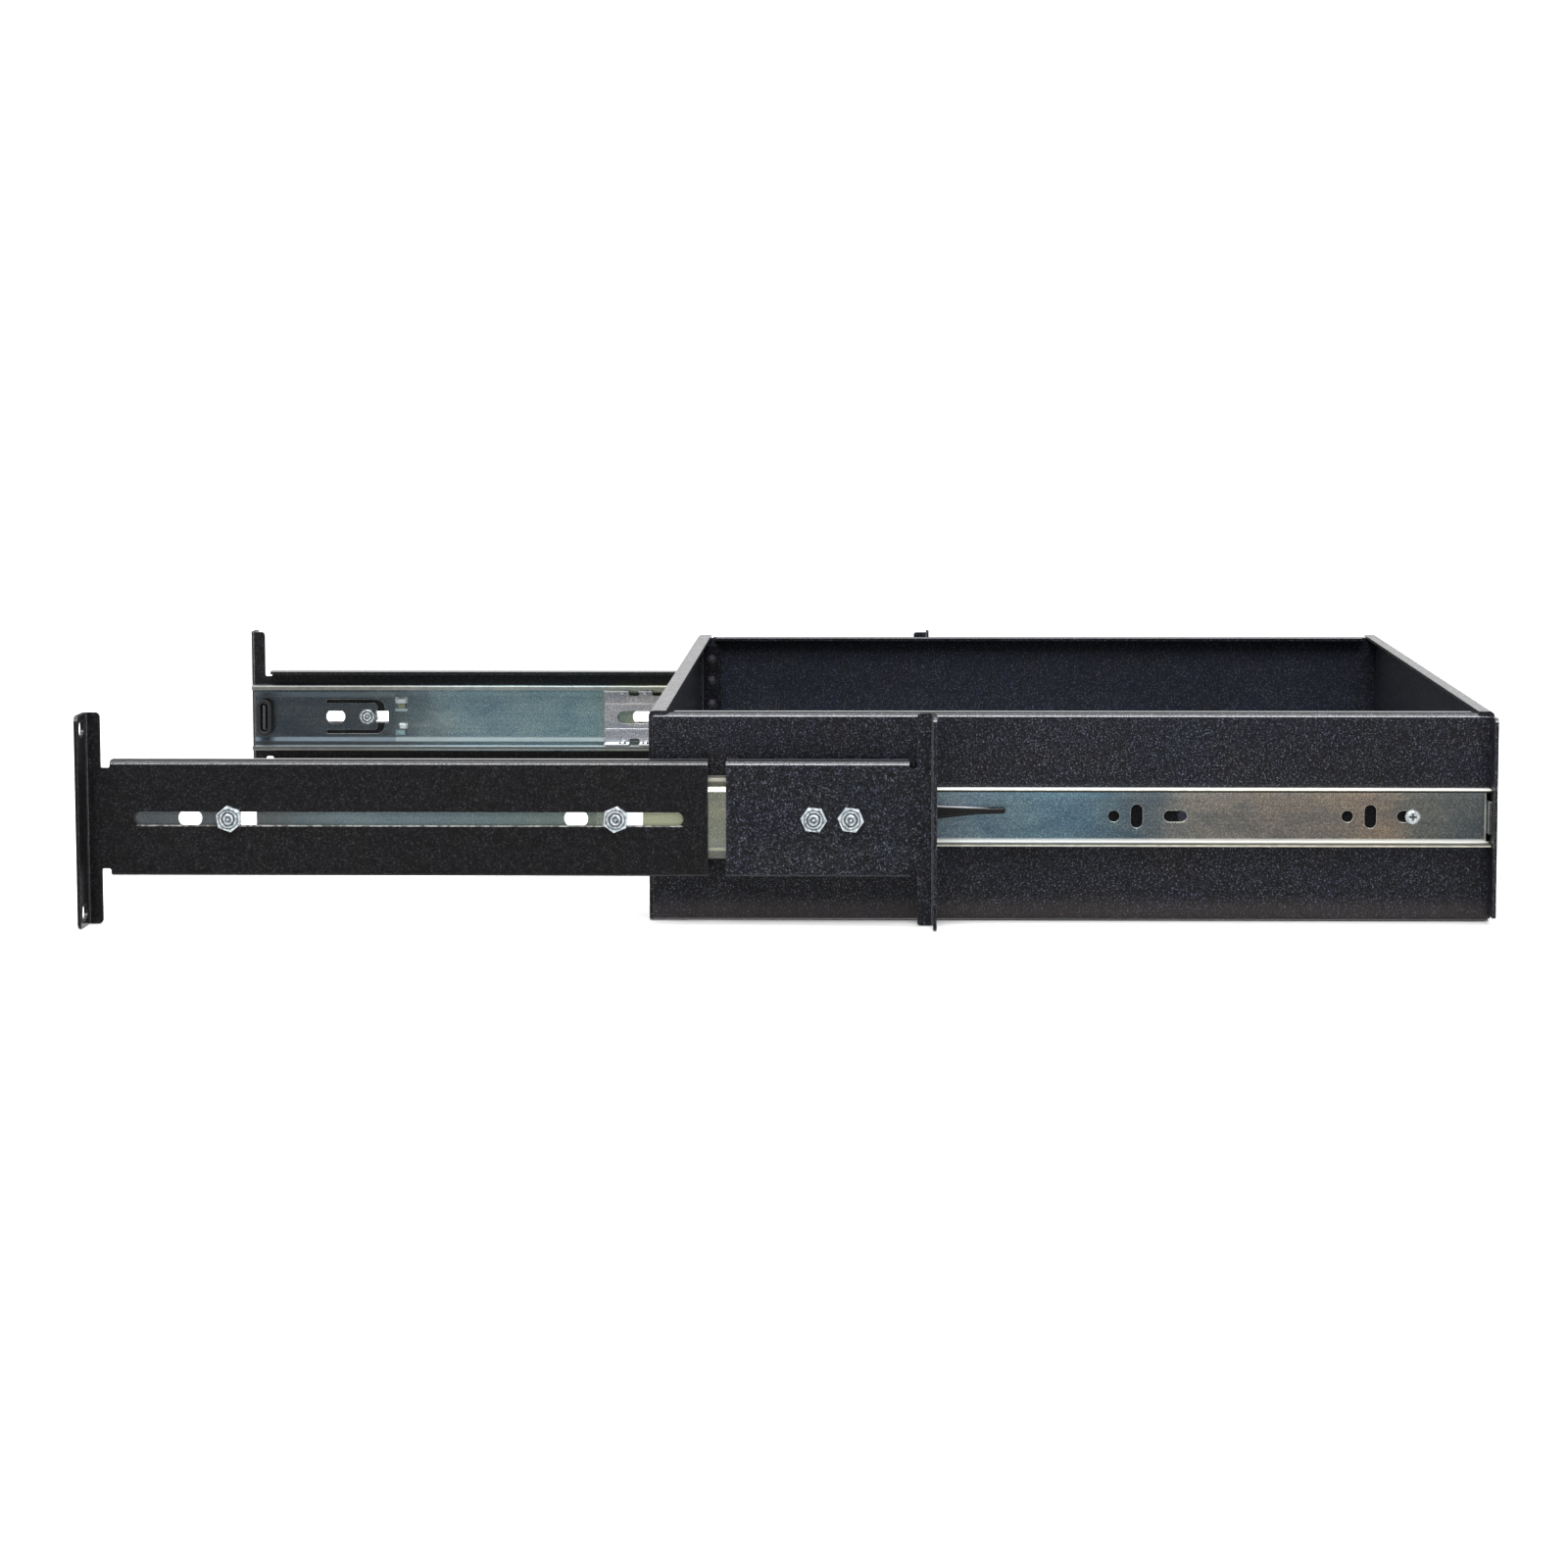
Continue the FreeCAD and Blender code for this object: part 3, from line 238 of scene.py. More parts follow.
        # painted highlight on the up-facing cut face of the slot
        cut = p.math("MULTIPLY", flat, p.span(p.math("ABSOLUTE", z), slot_edge, slot_edge + 0.0003, 1.0, 0.0))
        base = p.mix(p.math("MULTIPLY", cut, p.math("MULTIPLY_ADD", patch, 0.5, 0.35)), base, lin(205, 206, 200))
    for wz in welds:  # spot weld prints, lightened as a painted highlight on the dimples
        dy = p.math("SUBTRACT", y, 0.1104)
        dz = p.math("SUBTRACT", z, wz)
        rad = p.math("SQRT", p.math("ADD", p.math("MULTIPLY", dy, dy), p.math("MULTIPLY", dz, dz)))
        spot = p.math("MULTIPLY", p.span(rad, 0.0008, 0.0021, 1.0, 0.0), p.math("GREATER_THAN", ax, 0.2))
        base = p.mix(p.math("MULTIPLY", spot, 0.42), base, lin(140, 138, 156))
    coat = p.span(grain, 0.40, 0.62, 0.28, 0.55)
    rough = p.math("ADD", p.span(grain, 0.40, 0.62, 0.48, 0.32), p.span(peel, 0.35, 0.65, -0.05, 0.07))
    if flange is not None:  # flange tops are duller and painted dark as painted shade, but for a glossy free edge with a painted highlight line
        flat = p.math("MULTIPLY", flat, p.math("GREATER_THAN", z, -0.0405))  # not the drawer's floor
        free = p.span(ax, flange + 0.0022, flange + 0.0032, 1.0, 0.0)
        dull = p.math("MULTIPLY", flat, p.math("SUBTRACT", 1.0, free))
        coat = p.math("MULTIPLY", coat, p.math("SUBTRACT", 1.0, dull))
        # painted highlight line along the free edge of the flange
        base = p.mix(p.math("MULTIPLY", p.math("MULTIPLY", flat, free), 0.7), base, lin(*free_edge_highlight))
        coat = p.math("ADD", coat, p.math("MULTIPLY", p.math("MULTIPLY", flat, free), 0.45))
        rough = p.math("ADD", rough, p.math("MULTIPLY", dull, 0.45))
        # painted shade on the flat flange tops
        base = p.mix(p.math("MULTIPLY", dull, 0.7), base, lin(10, 9, 8))
    if hidden is not None:  # behind the slide the skin sees no light
        cover = p.math("MULTIPLY", p.span(p.math("ABSOLUTE", z), hidden[1] - 0.0002, hidden[1], 1.0, 0.0),
                       p.math("GREATER_THAN", ax, hidden[0]))
        base = p.mix(p.math("MULTIPLY", cover, 0.85), base, lin(4, 4, 5))
        coat = p.math("MULTIPLY", coat, p.math("SUBTRACT", 1.0, p.math("MULTIPLY", cover, 0.9)))
        rough = p.math("ADD", rough, p.math("MULTIPLY", cover, 0.4))
    p.link(base, p.b.inputs["Base Color"])
    p.link(rough, p.b.inputs["Roughness"])
    p.link(coat, p.b.inputs["Coat Weight"])
    p.set(Specular_IOR_Level=0.17, Metallic=0.0, Coat_Roughness=0.15, Coat_IOR=1.5)
    relief = p.math("ADD", grain, p.math("MULTIPLY", peel, 0.9))
    p.link(p.bump(relief, 0.5, 0.00015, bev), p.b.inputs["Normal"])
    return p


def zinc(name, stops, seed=0.0, lip=None, lift=1.12, cloud=1.0, rough=(0.24, 0.38), soft_z=None,
         shade_z=None, highlight_bands=(), up_highlight_limit=None, up_highlight_gain=0.92, light_shade_boxes=(), brim=(0.00040, 0.03, 0.30)):
    """Zinc plate over rolled steel: drifting blue, straw and olive tints along
    the slide, fine salt-and-pepper crystals, faint rolling streaks, burnished
    edges and a painted highlight on faces that face up. lip is (|x| from, |x| to, colour) for the sheared lips."""
    z = Mat(name)
    x, y, zz = z.xyz()[0:3]
    vec = z.scaled(1, 1, 1, loc=(seed, seed, seed))
    warp = z.noise(60.0, detail=3.0, rough=0.6, vec=vec)
    warp2 = z.noise(18.0, detail=2.0, rough=0.6, vec=vec)
    along = z.math("ADD", y, z.math("MULTIPLY", z.math("SUBTRACT", warp, 0.5), 0.030))
    along = z.math("ADD", along, z.math("MULTIPLY", z.math("SUBTRACT", warp2, 0.5), 0.020))
    lo, hi = stops[0][0], stops[-1][0]
    fac = z.span(along, lo, hi)
    colour = z.ramp(fac, [((at - lo) / (hi - lo), lin(*(min(250, v * lift) for v in col))) for at, col in stops])
    clouds = z.noise(90.0, detail=5.0, rough=0.65, vec=z.scaled(1, 0.5, 1, loc=(seed, seed, seed)), distortion=0.5)
    colour = z.mix(cloud, colour, z.ramp(clouds, [
        (0.30, (0.76, 0.82, 0.88, 1)), (0.46, (0.95, 0.97, 0.99, 1)),
        (0.56, (1.05, 1.03, 1.0, 1)), (0.72, (1.22, 1.15, 1.06, 1))]), "MULTIPLY")
    streak = z.noise(1100.0, detail=2.0, rough=0.6, vec=z.scaled(1, 0.010, 1))
    colour = z.mix(1.0, colour, z.ramp(streak, [(0.35, (0.93, 0.93, 0.94, 1)), (0.68, (1.07, 1.07, 1.06, 1))]), "MULTIPLY")
    speck = z.noise(1900.0, detail=2.0, rough=0.65)
    colour = z.mix(1.0, colour, z.ramp(speck, [
        (0.36, (0.66, 0.66, 0.68, 1)), (0.50, (0.97, 0.97, 0.97, 1)), (0.58, (1.18, 1.18, 1.15, 1)),
        (0.66, (1.75, 1.75, 1.65, 1))]), "MULTIPLY")
    if soft_z is not None:  # paler towards the lower bend
        fade = z.span(zz, soft_z[0], soft_z[1], 0.0, 1.0, smooth=True)
        colour = z.mix(z.math("MULTIPLY", fade, soft_z[2]), colour, lin(*soft_z[3]))
    if shade_z is not None:  # painted shading: the web is painted paler towards its upper bend
        colour = z.mix(1.0, colour, z.ramp(z.span(zz, shade_z[0][0], shade_z[-1][0]), [
            ((at - shade_z[0][0]) / (shade_z[-1][0] - shade_z[0][0]), (v, v, v, 1)) for at, v in shade_z]), "MULTIPLY")
    edge, bev = z.edge(*brim)
    burnish_and_highlight = z.math("MULTIPLY", edge, 0.75)
    nz = z.normal_xyz()[2]
    # painted highlight on faces that face up
    up = z.math("MULTIPLY", z.span(nz, 0.28, 0.80), up_highlight_gain)
    if up_highlight_limit is not None:
        up = z.math("MULTIPLY", up, z.span(z.math("ABSOLUTE", zz), up_highlight_limit, up_highlight_limit + 0.0005, 1.0, 0.45))
    burnish_and_highlight = z.math("MAXIMUM", burnish_and_highlight, up)
    for x0, x1, z0, z1, amount in highlight_bands:  # painted highlight bands on given bends
        ax_b = z.math("ABSOLUTE", x)
        inside = z.math("MULTIPLY", z.math("GREATER_THAN", ax_b, x0), z.math("LESS_THAN", ax_b, x1))
        inside = z.math("MULTIPLY", inside, z.span(zz, z0 - 0.0002, z0 + 0.0002))
        inside = z.math("MULTIPLY", inside, z.span(zz, z1 - 0.0004, z1 + 0.0004, 1.0, 0.0))
        burnish_and_highlight = z.math("MAXIMUM", burnish_and_highlight, z.math("MULTIPLY", inside, amount))
    if lip is not None:
        ax = z.math("ABSOLUTE", x)
        on = z.math("MULTIPLY", z.math("GREATER_THAN", ax, lip[0]), z.math("LESS_THAN", ax, lip[1]))
        side = z.math("MULTIPLY", on, z.span(z.math("ABSOLUTE", z.normal_xyz()[0]), 0.5, 0.8))
        lip_colour = z.mix(z.span(z.noise(300.0, detail=2.0), 0.4, 0.6), lin(*lip[2]), lin(*(min(255, v * 1.12) for v in lip[2])))
        colour = z.mix(z.math("MULTIPLY", side, 0.85), colour, lip_colour)
        pale_lip = z.math("MULTIPLY", side, 0.7)
    # burnished edges and painted highlights, made paler
    colour = z.mix(z.math("MULTIPLY", burnish_and_highlight, 0.9), colour, lin(232, 233, 228))
    matte = burnish_and_highlight if lip is None else z.math("MAXIMUM", burnish_and_highlight, pale_lip)
    ax_t = z.math("ABSOLUTE", x)
    for x0, x1, y0, y1, z0, z1, tone, amount, dull in light_shade_boxes:  # painted highlights and painted shade, each in a given box
        box = z.math("MULTIPLY", z.span(ax_t, x0 - 0.0001, x0), z.span(ax_t, x1, x1 + 0.0001, 1.0, 0.0))
        box = z.math("MULTIPLY", box, z.math("MULTIPLY", z.span(zz, z0 - 0.00015, z0 + 0.00015), z.span(zz, z1 - 0.00015, z1 + 0.00015, 1.0, 0.0)))
        if y0 is not None:
            box = z.math("MULTIPLY", box, z.math("MULTIPLY", z.span(y, y0 - 0.0003, y0 + 0.0003), z.span(y, y1 - 0.0003, y1 + 0.0003, 1.0, 0.0)))
        colour = z.mix(z.math("MULTIPLY", box, amount), colour, lin(*tone))
        matte = z.math("ADD", z.math("MULTIPLY", matte, z.math("SUBTRACT", 1.0, box)), z.math("MULTIPLY", box, dull))
    z.link(colour, z.b.inputs["Base Color"])
    rough_now = z.span(clouds, 0.3, 0.7, rough[0], rough[1])
    z.link(z.math("ADD", rough_now, z.math("MULTIPLY", matte, 0.16)), z.b.inputs["Roughness"])
    z.link(z.math("SUBTRACT", 1.0, z.math("MULTIPLY", matte, 0.72)), z.b.inputs["Metallic"])
    height = z.math("ADD", z.math("MULTIPLY", streak, 0.35), z.math("MULTIPLY", speck, 0.65))
    z.link(z.bump(height, 0.3, 0.00005, bev), z.b.inputs["Normal"])
    return z


def turned(name, centres, rings=None, cross=False, rough=0.24, base=(176, 186, 190)):
    """Bright zinc fastener; rings are (radius, grey) round each centre (y, z),
    painted light and dark rings for the light on thread ends and chamfers; cross paints shade into a cross recess."""
    t = Mat(name)
    x, y, zc = t.xyz()[0:3]
    cy = t.math("ADD", t.math("MULTIPLY", y, 0.0), centres[0][0])
    if len(centres) == 2:
        middle = (centres[0][0] + centres[1][0]) / 2
        pick = t.math("GREATER_THAN", y, middle)
        cy = t.math("ADD", t.math("MULTIPLY", pick, centres[1][0] - centres[0][0]), centres[0][0])
    dy = t.math("SUBTRACT", y, cy)
    dz = t.math("SUBTRACT", zc, centres[0][1])
    rad = t.math("SQRT", t.math("ADD", t.math("MULTIPLY", dy, dy), t.math("MULTIPLY", dz, dz)))
    wob = t.math("MULTIPLY", t.math("SUBTRACT", t.noise(300.0, detail=1.0), 0.5), 0.0005)
    rad = t.math("ADD", rad, wob)
    dirt = t.noise(700.0, detail=3.0, rough=0.6)
    colour = t.ramp(dirt, [(0.30, lin(110, 120, 126)), (0.50, lin(*base)), (0.68, lin(226, 232, 232))])
    height = t.math("MULTIPLY", dirt, 0.25)
    # painted highlight and shade rings round each centre
    if rings is not None:
        last = rings[-1][0]
        tone = t.ramp(t.span(rad, 0.0, last), [(r / last, (g, g, g * 1.02, 1)) for r, g in rings])
        colour = t.mix(1.0, colour, tone, "MULTIPLY")
        height = t.math("ADD", height, t.math("MULTIPLY", tone, 0.35))
    # painted shade in the cross recess
    if cross:
        ady, adz = t.math("ABSOLUTE", dy), t.math("ABSOLUTE", dz)
        arm1 = t.math("MULTIPLY", t.span(ady, 0.00042, 0.00062, 1.0, 0.0), t.span(adz, 0.00150, 0.00175, 1.0, 0.0))
        arm2 = t.math("MULTIPLY", t.span(adz, 0.00042, 0.00062, 1.0, 0.0), t.span(ady, 0.00150, 0.00175, 1.0, 0.0))
        arm = t.math("MAXIMUM", arm1, arm2)
        colour = t.mix(t.math("MULTIPLY", arm, 0.88), colour, lin(46, 56, 62))
    edge, bev = t.edge(0.0004, 0.03, 0.30)
    colour = t.mix(t.math("MULTIPLY", edge, 0.55), colour, lin(246, 248, 248))
    t.link(colour, t.b.inputs["Base Color"])
    t.link(t.span(dirt, 0.3, 0.7, rough, rough + 0.16), t.b.inputs["Roughness"])
    t.link(t.math("SUBTRACT", 0.45, t.math("MULTIPLY", edge, 0.3)), t.b.inputs["Metallic"])
    t.link(t.bump(height, 0.45, 0.00009, bev), t.b.inputs["Normal"])
    return t


def plastic(name, colour=(16, 16, 18), rough=0.28, rim=None):
    p = Mat(name)
    n = p.noise(1400.0, detail=3.0, rough=0.6)
    c = p.ramp(n, [(0.3, lin(*(c * 0.6 for c in colour))), (0.55, lin(*colour)), (0.72, lin(*(min(255, c * 2.6) for c in colour)))])
    edge, bev = p.edge(0.0004, 0.03, 0.4)
    c = p.mix(p.math("MULTIPLY", edge, 0.35), c, lin(70, 70, 74))
    if rim is not None:  # painted highlight along the upper rim
        wide, _ = p.edge(0.0009, 0.01, 0.12)
        top = p.math("MULTIPLY", p.span(p.normal_xyz()[2], -0.2, 0.6, 0.0, 1.0), wide)
        top = p.math("MAXIMUM", top, p.span(p.normal_xyz()[2], 0.35, 0.8))
        top = p.math("MULTIPLY", top, p.span(p.xyz()[1], -0.024, -0.014))
        c = p.mix(p.math("MULTIPLY", top, 0.95), c, lin(*rim))
    p.link(c, p.b.inputs["Base Color"])
    p.link(p.span(n, 0.3, 0.7, rough, rough + 0.2), p.b.inputs["Roughness"])
    p.link(p.bump(n, 0.4, 0.00006, bev), p.b.inputs["Normal"])
    return p


def rubber(name):
    r = Mat(name)
    n = r.noise(1300.0, detail=3.0, rough=0.65)
    c = r.ramp(n, [(0.3, lin(9, 9, 10)), (0.7, lin(30, 30, 32))])
    r.link(c, r.b.inputs["Base Color"])
    r.link(r.span(n, 0.3, 0.7, 0.45, 0.7), r.b.inputs["Roughness"])
    r.link(r.bump(n, 0.4, 0.00008, r.bevel(0.0003)), r.b.inputs["Normal"])
    return r


def ball_steel(name):
    s = Mat(name)
    n = s.noise(500.0, detail=2.0)
    s.link(s.ramp(n, [(0.3, lin(170, 174, 178)), (0.7, lin(222, 224, 228))]), s.b.inputs["Base Color"])
    s.link(s.span(n, 0.3, 0.7, 0.08, 0.2), s.b.inputs["Roughness"])
    s.set(Metallic=1.0)
    return s


tray_coat = powder_coat("drawer powder coat", (0.84, 0.85, 0.90), seed=0.0, warm_foot=(-0.0320, -0.0405),
                        flange=0.1995, wall=0.2080, hidden=(0.2090, 0.0112))
panel_coat = powder_coat("panel powder coat", (0.90, 0.90, 0.90), seed=0.37)
tail_coat = powder_coat("rear panel powder coat", (0.90, 0.90, 0.92), seed=0.63, welds=(0.032, 0.021, 0.009, -0.021))
bracket_coat = powder_coat("bracket powder coat", (0.83, 0.85, 0.90), seed=0.81, flange=0.2137)
# the rear brackets wear the front brackets' coat; this copy is painted about half as bright, as painted shade, with a
# weaker painted bend line
rear_shaded_coat = powder_coat("rear bracket powder coat", (0.46, 0.45, 0.46), seed=0.55, flange=0.2137, slot_edge=0.0035, bend_line_gain=0.42)
handle_coat = powder_coat("handle powder coat", (0.88, 0.88, 0.88), seed=1.3)
DRAWER_STOPS = [
    (-0.235, (122, 126, 126)), (-0.215, (120, 126, 128)), (-0.196, (140, 140, 134)),
    (-0.182, (172, 156, 142)), (-0.165, (162, 153, 142)), (-0.140, (154, 148, 142)),
    (-0.118, (164, 158, 150)), (-0.104, (160, 158, 152)), (-0.090, (122, 134, 142)),
    (-0.076, (118, 142, 156)), (-0.060, (128, 160, 178)), (-0.036, (130, 160, 174)),
    (-0.012, (132, 152, 166)), (0.03, (140, 154, 162)), (0.12, (146, 156, 160)),
]
CABINET_STOPS = [
    (-0.01, (150, 154, 146)), (0.075, (158, 160, 146)), (0.110, (164, 168, 148)), (0.128, (160, 164, 146)),
    (0.150, (146, 164, 160)), (0.175, (144, 166, 174)), (0.215, (146, 170, 180)),
    (0.244, (150, 174, 184)), (0.262, (124, 140, 146)), (0.285, (108, 118, 122)),
    (0.315, (110, 120, 126)), (0.352, (116, 124, 130)),
]
# the far member's tints, painted darker towards the rear as painted shade
FAR_STOPS = [
    (-0.01, (150, 154, 146)), (0.100, (158, 160, 146)), (0.140, (160, 162, 146)),
    (0.156, (150, 162, 150)), (0.175, (140, 168, 176)), (0.215, (142, 168, 176)),
    (0.244, (146, 170, 178)), (0.258, (132, 150, 158)), (0.276, (104, 114, 118)), (0.292, (88, 96, 100)),
    (0.315, (86, 94, 100)), (0.335, (84, 92, 98)), (0.352, (92, 100, 106)),
]
member_zinc = zinc(
    "drawer member zinc", DRAWER_STOPS, seed=0.2, lip=(0.2166, 0.2180, (206, 202, 184)),
    shade_z=[(-0.0105, 0.95), (-0.004, 0.90), (0.003, 1.0), (0.007, 1.14), (0.0098, 1.45)],
    # painted highlight band on the lower flange
    highlight_bands=[(0.2090, 0.2160, -0.0109, -0.0094, 0.95)], brim=(0.00060, 0.015, 0.20),
    # painted highlights and painted shade in boxes
    light_shade_boxes=[
        (0.2166, 0.2180, None, None, 0.0100, 0.0114, (26, 26, 24), 0.95, 0.4),
        (0.2128, 0.2174, None, None, -0.0112, -0.0103, (30, 28, 24), 0.92, 0.4),
        (0.2100, 0.2112, -0.2286, -0.2280, -0.0100, 0.0100, (225, 226, 215), 0.8, 0.6),
        (0.2100, 0.2112, -0.2300, -0.2287, -0.0100, 0.0100, (40, 46, 48), 0.8, 0.3),
    ])
# the two cabinet members are one part, zinc-plated alike: the next two materials are a lit copy for the near one and a
# shaded copy for the far one, painted darker towards its rear and with little painted highlight on faces that face up
near_lit_zinc = zinc(
    "near cabinet member zinc", CABINET_STOPS, seed=0.9, lift=1.18, lip=(0.2110, 0.2122, (110, 109, 102)),
    soft_z=(-0.002, -0.0135, 0.35, (170, 188, 196)),
    # painted highlights and painted shade in boxes
    light_shade_boxes=[
        (0.2100, 0.2230, None, None, 0.0134, 0.0180, (70, 66, 54), 0.9, 0.75),
        (0.2212, 0.2230, None, None, -0.0132, -0.0120, (190, 186, 164), 0.7, 0.5),
        (0.2130, 0.2230, None, None, -0.0180, -0.0134, (92, 90, 82), 0.8, 0.5),
        (0.2218, 0.2230, 0.1020, 0.1276, -0.0032, 0.0032, (150, 155, 124), 0.70, 0.60),
        (0.2218, 0.2230, 0.1390, 0.1900, -0.0032, 0.0032, (82, 94, 86), 0.70, 0.40),
        (0.2218, 0.2230, 0.1900, 0.2700, -0.0032, 0.0032, (82, 88, 88), 0.68, 0.40),
        (0.2218, 0.2230, 0.2700, 0.3400, -0.0032, 0.0032, (86, 86, 84), 0.60, 0.30),
    ])
far_shaded_zinc = zinc(
    "far cabinet member zinc", FAR_STOPS, seed=0.9, lift=1.14, lip=(0.2110, 0.2122, (102, 101, 95)), up_highlight_gain=0.10,
    # painted highlights and painted shade in boxes
    light_shade_boxes=[
        (0.2100, 0.2213, None, None, -0.0158, -0.0128, (84, 92, 96), 0.75, 0.3),
        (0.2196, 0.2216, 0.2760, 0.3520, -0.0130, -0.0104, (84, 96, 106), 0.90, 0.6),
        (0.2196, 0.2216, 0.1000, 0.2758, -0.0130, -0.0104, (120, 132, 134), 0.90, 0.9),
        (0.2196, 0.2216, 0.2760, 0.3520, 0.0100, 0.0130, (104, 118, 128), 0.60, 0.4),
        (0.2196, 0.2210, 0.2700, 0.2762, 0.0070, 0.0100, (225, 232, 232), 0.75, 0.5),
        (0.2196, 0.2210, 0.2712, 0.2748, 0.0044, 0.0066, (150, 156, 118), 0.70, 0.3),
        (0.2196, 0.2210, 0.2700, 0.2762, 0.0028, 0.0042, (196, 212, 216), 0.70, 0.4),
        (0.2196, 0.2210, 0.2700, 0.2740, -0.0062, -0.0034, (225, 232, 232), 0.75, 0.5),
        (0.2196, 0.2210, 0.2712, 0.2762, -0.0098, -0.0070, (170, 206, 210), 0.70, 0.3),
    ])
retainer_zinc = zinc("retainer zinc", [(-1.0, (192, 192, 198)), (1.0, (192, 192, 198))], rough=(0.30, 0.44), seed=1.7,
                     up_highlight_gain=0.5)

paint("left_cabinet_member", near_lit_zinc)
paint("right_cabinet_member", far_shaded_zinc)
for side in ("left_", "right_"):
    paint(side + "drawer_member", member_zinc)
    paint(side + "ball_retainer", retainer_zinc)
    paint(side + "front_bracket", bracket_coat)
    paint(side + "rear_bracket", rear_shaded_coat)
paint("drawer_tray", tray_coat)
paint("front_panel", panel_coat)
paint("rear_panel", tail_coat)
paint("pull_handle", handle_coat)

balls = ball_steel("ball steel")
# the lever carries a painted highlight along its upper rim
lever_black = plastic("lever plastic", colour=(9, 9, 10), rim=(246, 246, 252))
bumper_black = rubber("bumper rubber")
# painted light and dark rings on the nut and bolt ends: radius, grey
NUT_RINGS = [(0.0, 1.6), (0.0004, 1.4), (0.0008, 0.10), (0.0013, 0.5), (0.0017, 1.3), (0.0021, 0.9), (0.0023, 0.04),
             (0.0027, 0.08), (0.0030, 0.9), (0.0034, 1.3), (0.0038, 0.30), (0.0041, 0.35), (0.0044, 1.2), (0.0056, 1.3)]
front_ring = turned("front fastener zinc", [(0.0338, 0.0), (0.0491, 0.0)], NUT_RINGS)
rear_ring = turned("rear fastener zinc", [(0.1308, 0.0), (0.29096, 0.0)], NUT_RINGS)
screw_ring = turned("side screw zinc", [(-0.19835, 0.0), (0.072, 0.0)], cross=True, rough=0.3, base=(206, 212, 214))
rivet_ring = turned("rivet zinc", [(0.052, 0.0)], rough=0.3)
handle_ring = plastic("handle screw black", (34, 34, 36), 0.4)
for side in ("left_", "right_"):
    paint(side + "slide_balls", balls)
    paint(side + "release_lever", lever_black)
    paint(side + "rear_bumper", bumper_black)
    paint(side + "front_bolts", front_ring)
    paint(side + "front_nuts", front_ring)
    paint(side + "rear_bolts", rear_ring)
    paint(side + "rear_nuts", rear_ring)
    paint(side + "drawer_member_screws", screw_ring)
    paint(side + "lever_rivet", rivet_ring)
paint("handle_screws", handle_ring)

# ---------------------------------------------------------------- floor
floor_z = cad_box[0][2] - 0.0002
me = bpy.data.meshes.new("floor")
s = 1.5
me.from_pydata([(-s, -s, floor_z), (s, -s, floor_z), (s, s, floor_z), (-s, s, floor_z)], [], [(0, 1, 2, 3)])
floor = bpy.data.objects.new("floor", me)
bpy.context.scene.collection.objects.link(floor)
fm = Mat("floor white")
fm.set(Base_Color=(0.88, 0.88, 0.88, 1), Roughness=0.9, Specular_IOR_Level=0.0)
me.materials.append(fm.m)
floor.visible_glossy = False

# ---------------------------------------------------------------- camera
cam_data = bpy.data.cameras.new("camera")
cam = bpy.data.objects.new("camera", cam_data)
bpy.context.scene.collection.objects.link(cam)
cam_data.sensor_width = 36.0
cam_data.lens = 94.307
cam_data.clip_start = 0.05
cam_data.clip_end = 60.0
yaw, pitch, roll = math.radians(1.597), math.radians(-6.3857), math.radians(-0.098)
look = Vector((math.cos(pitch) * math.cos(yaw), math.cos(pitch) * math.sin(yaw), math.sin(pitch)))
right = look.cross(Vector((0, 0, 1))).normalized()
up = right.cross(look).normalized()
rot = Matrix((right, up, -look)).transposed().to_4x4()
cam.matrix_world = Matrix.Translation((-1.90429, 0.01448, 0.20284)) @ rot @ Matrix.Rotation(roll, 4, "Z")
bpy.context.scene.camera = cam

# ---------------------------------------------------------------- light
world = bpy.data.worlds.new("studio")
bpy.context.scene.world = world
world.use_nodes = True
wt = world.node_tree
wt.nodes.clear()
wo = wt.nodes.new("ShaderNodeOutputWorld")
bg = wt.nodes.new("ShaderNodeBackground")
wt.links.new(bg.outputs[0], wo.inputs[0])
bg.inputs["Color"].default_value = (1, 1, 1, 1)
wc = wt.nodes.new("ShaderNodeTexCoord")
ws = wt.nodes.new("ShaderNodeSeparateXYZ")
wt.links.new(wc.outputs["Generated"], ws.inputs[0])


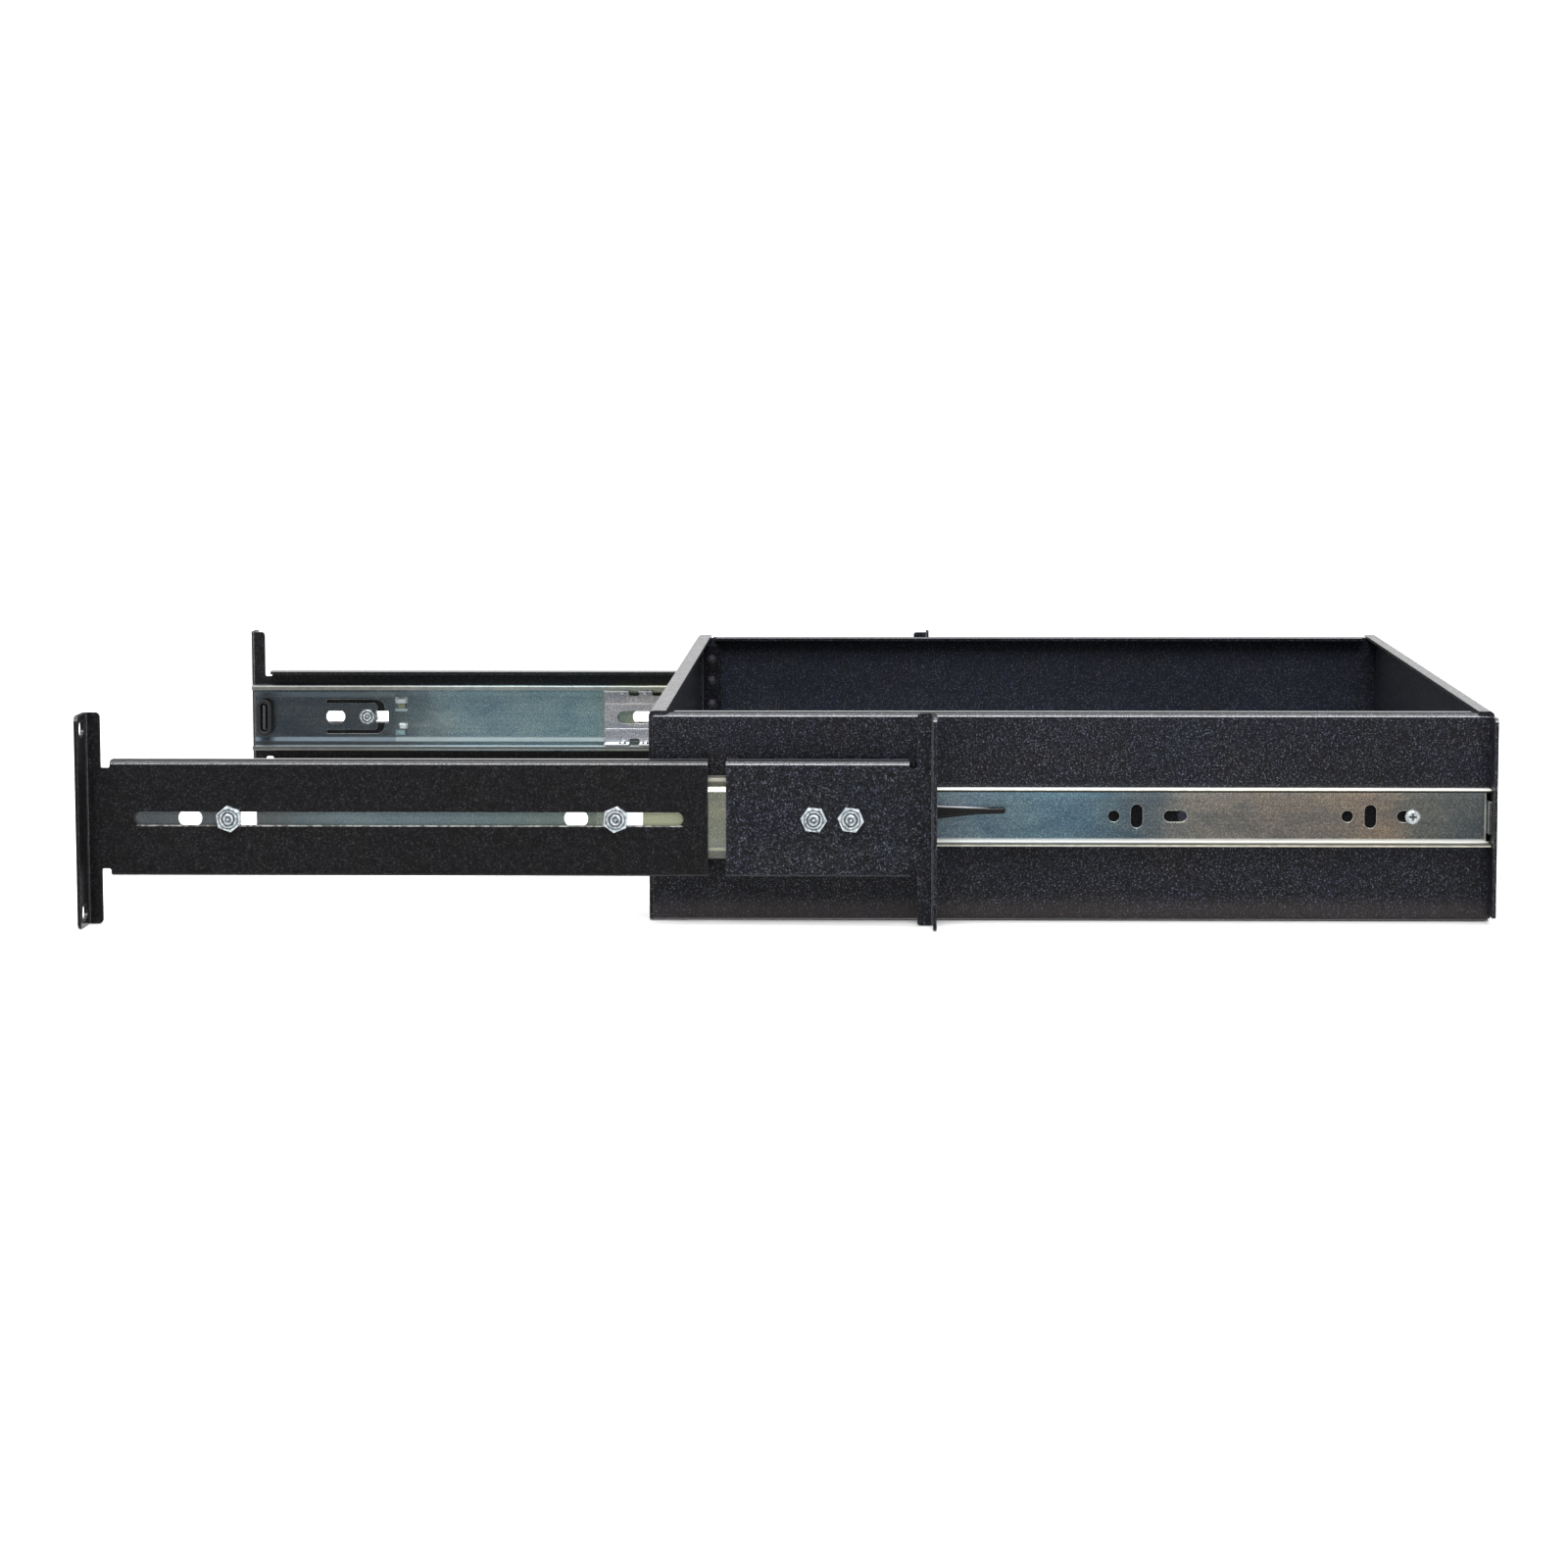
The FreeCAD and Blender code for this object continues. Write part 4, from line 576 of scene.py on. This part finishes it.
def wmath(op, a, b):
    n = wt.nodes.new("ShaderNodeMath")
    n.operation = op
    for i, v in enumerate((a, b)):
        if isinstance(v, (int, float)):
            n.inputs[i].default_value = v
        else:
            wt.links.new(v, n.inputs[i])
    return n.outputs[0]


def wspan(v, a, b, lo, hi):
    n = wt.nodes.new("ShaderNodeMapRange")
    n.interpolation_type = "SMOOTHSTEP"
    for name, val in (("From Min", a), ("From Max", b), ("To Min", lo), ("To Max", hi)):
        n.inputs[name].default_value = val
    wt.links.new(v, n.inputs["Value"])
    return n.outputs[0]


# dim in front of the part, bright behind it
side_part = wspan(ws.outputs[0], -0.70, 0.70, 0.36, 1.05)
top_part = wspan(ws.outputs[2], 0.25, 0.95, 0.0, 0.55)
shade = wmath("ADD", side_part, top_part)
path = wt.nodes.new("ShaderNodeLightPath")
mixed = wt.nodes.new("ShaderNodeMix")
mixed.data_type = "FLOAT"
wt.links.new(path.outputs["Is Camera Ray"], mixed.inputs["Factor"])
wt.links.new(shade, mixed.inputs[2])
mixed.inputs[3].default_value = 1.6
wt.links.new(mixed.outputs[0], bg.inputs["Strength"])


def area(name, loc, target, size_x, size_y, power, colour=(1, 1, 1)):
    data = bpy.data.lights.new(name, "AREA")
    data.shape = "RECTANGLE"
    data.size, data.size_y = size_x, size_y
    data.energy = power
    data.color = colour
    obj = bpy.data.objects.new(name, data)
    bpy.context.scene.collection.objects.link(obj)
    obj.location = loc
    direction = Vector(target) - Vector(loc)
    obj.rotation_euler = direction.to_track_quat("-Z", "Y").to_euler()
    return obj


area("top strip", (-0.10, 0.06, 1.6), (-0.1, 0.06, 0), 0.55, 3.0, 42.0)
area("near softbox", (-1.6, 0.0, 1.9), (0.0, 0.05, 0), 1.5, 1.5, 46.0)
area("back softbox", (2.4, 0.2, 1.2), (0.2, 0.05, 0), 2.4, 1.2, 8.0)

scene = bpy.context.scene
scene.view_settings.view_transform = "Standard"
scene.view_settings.look = "None"
scene.view_settings.exposure = 0.0
scene.view_settings.gamma = 1.0
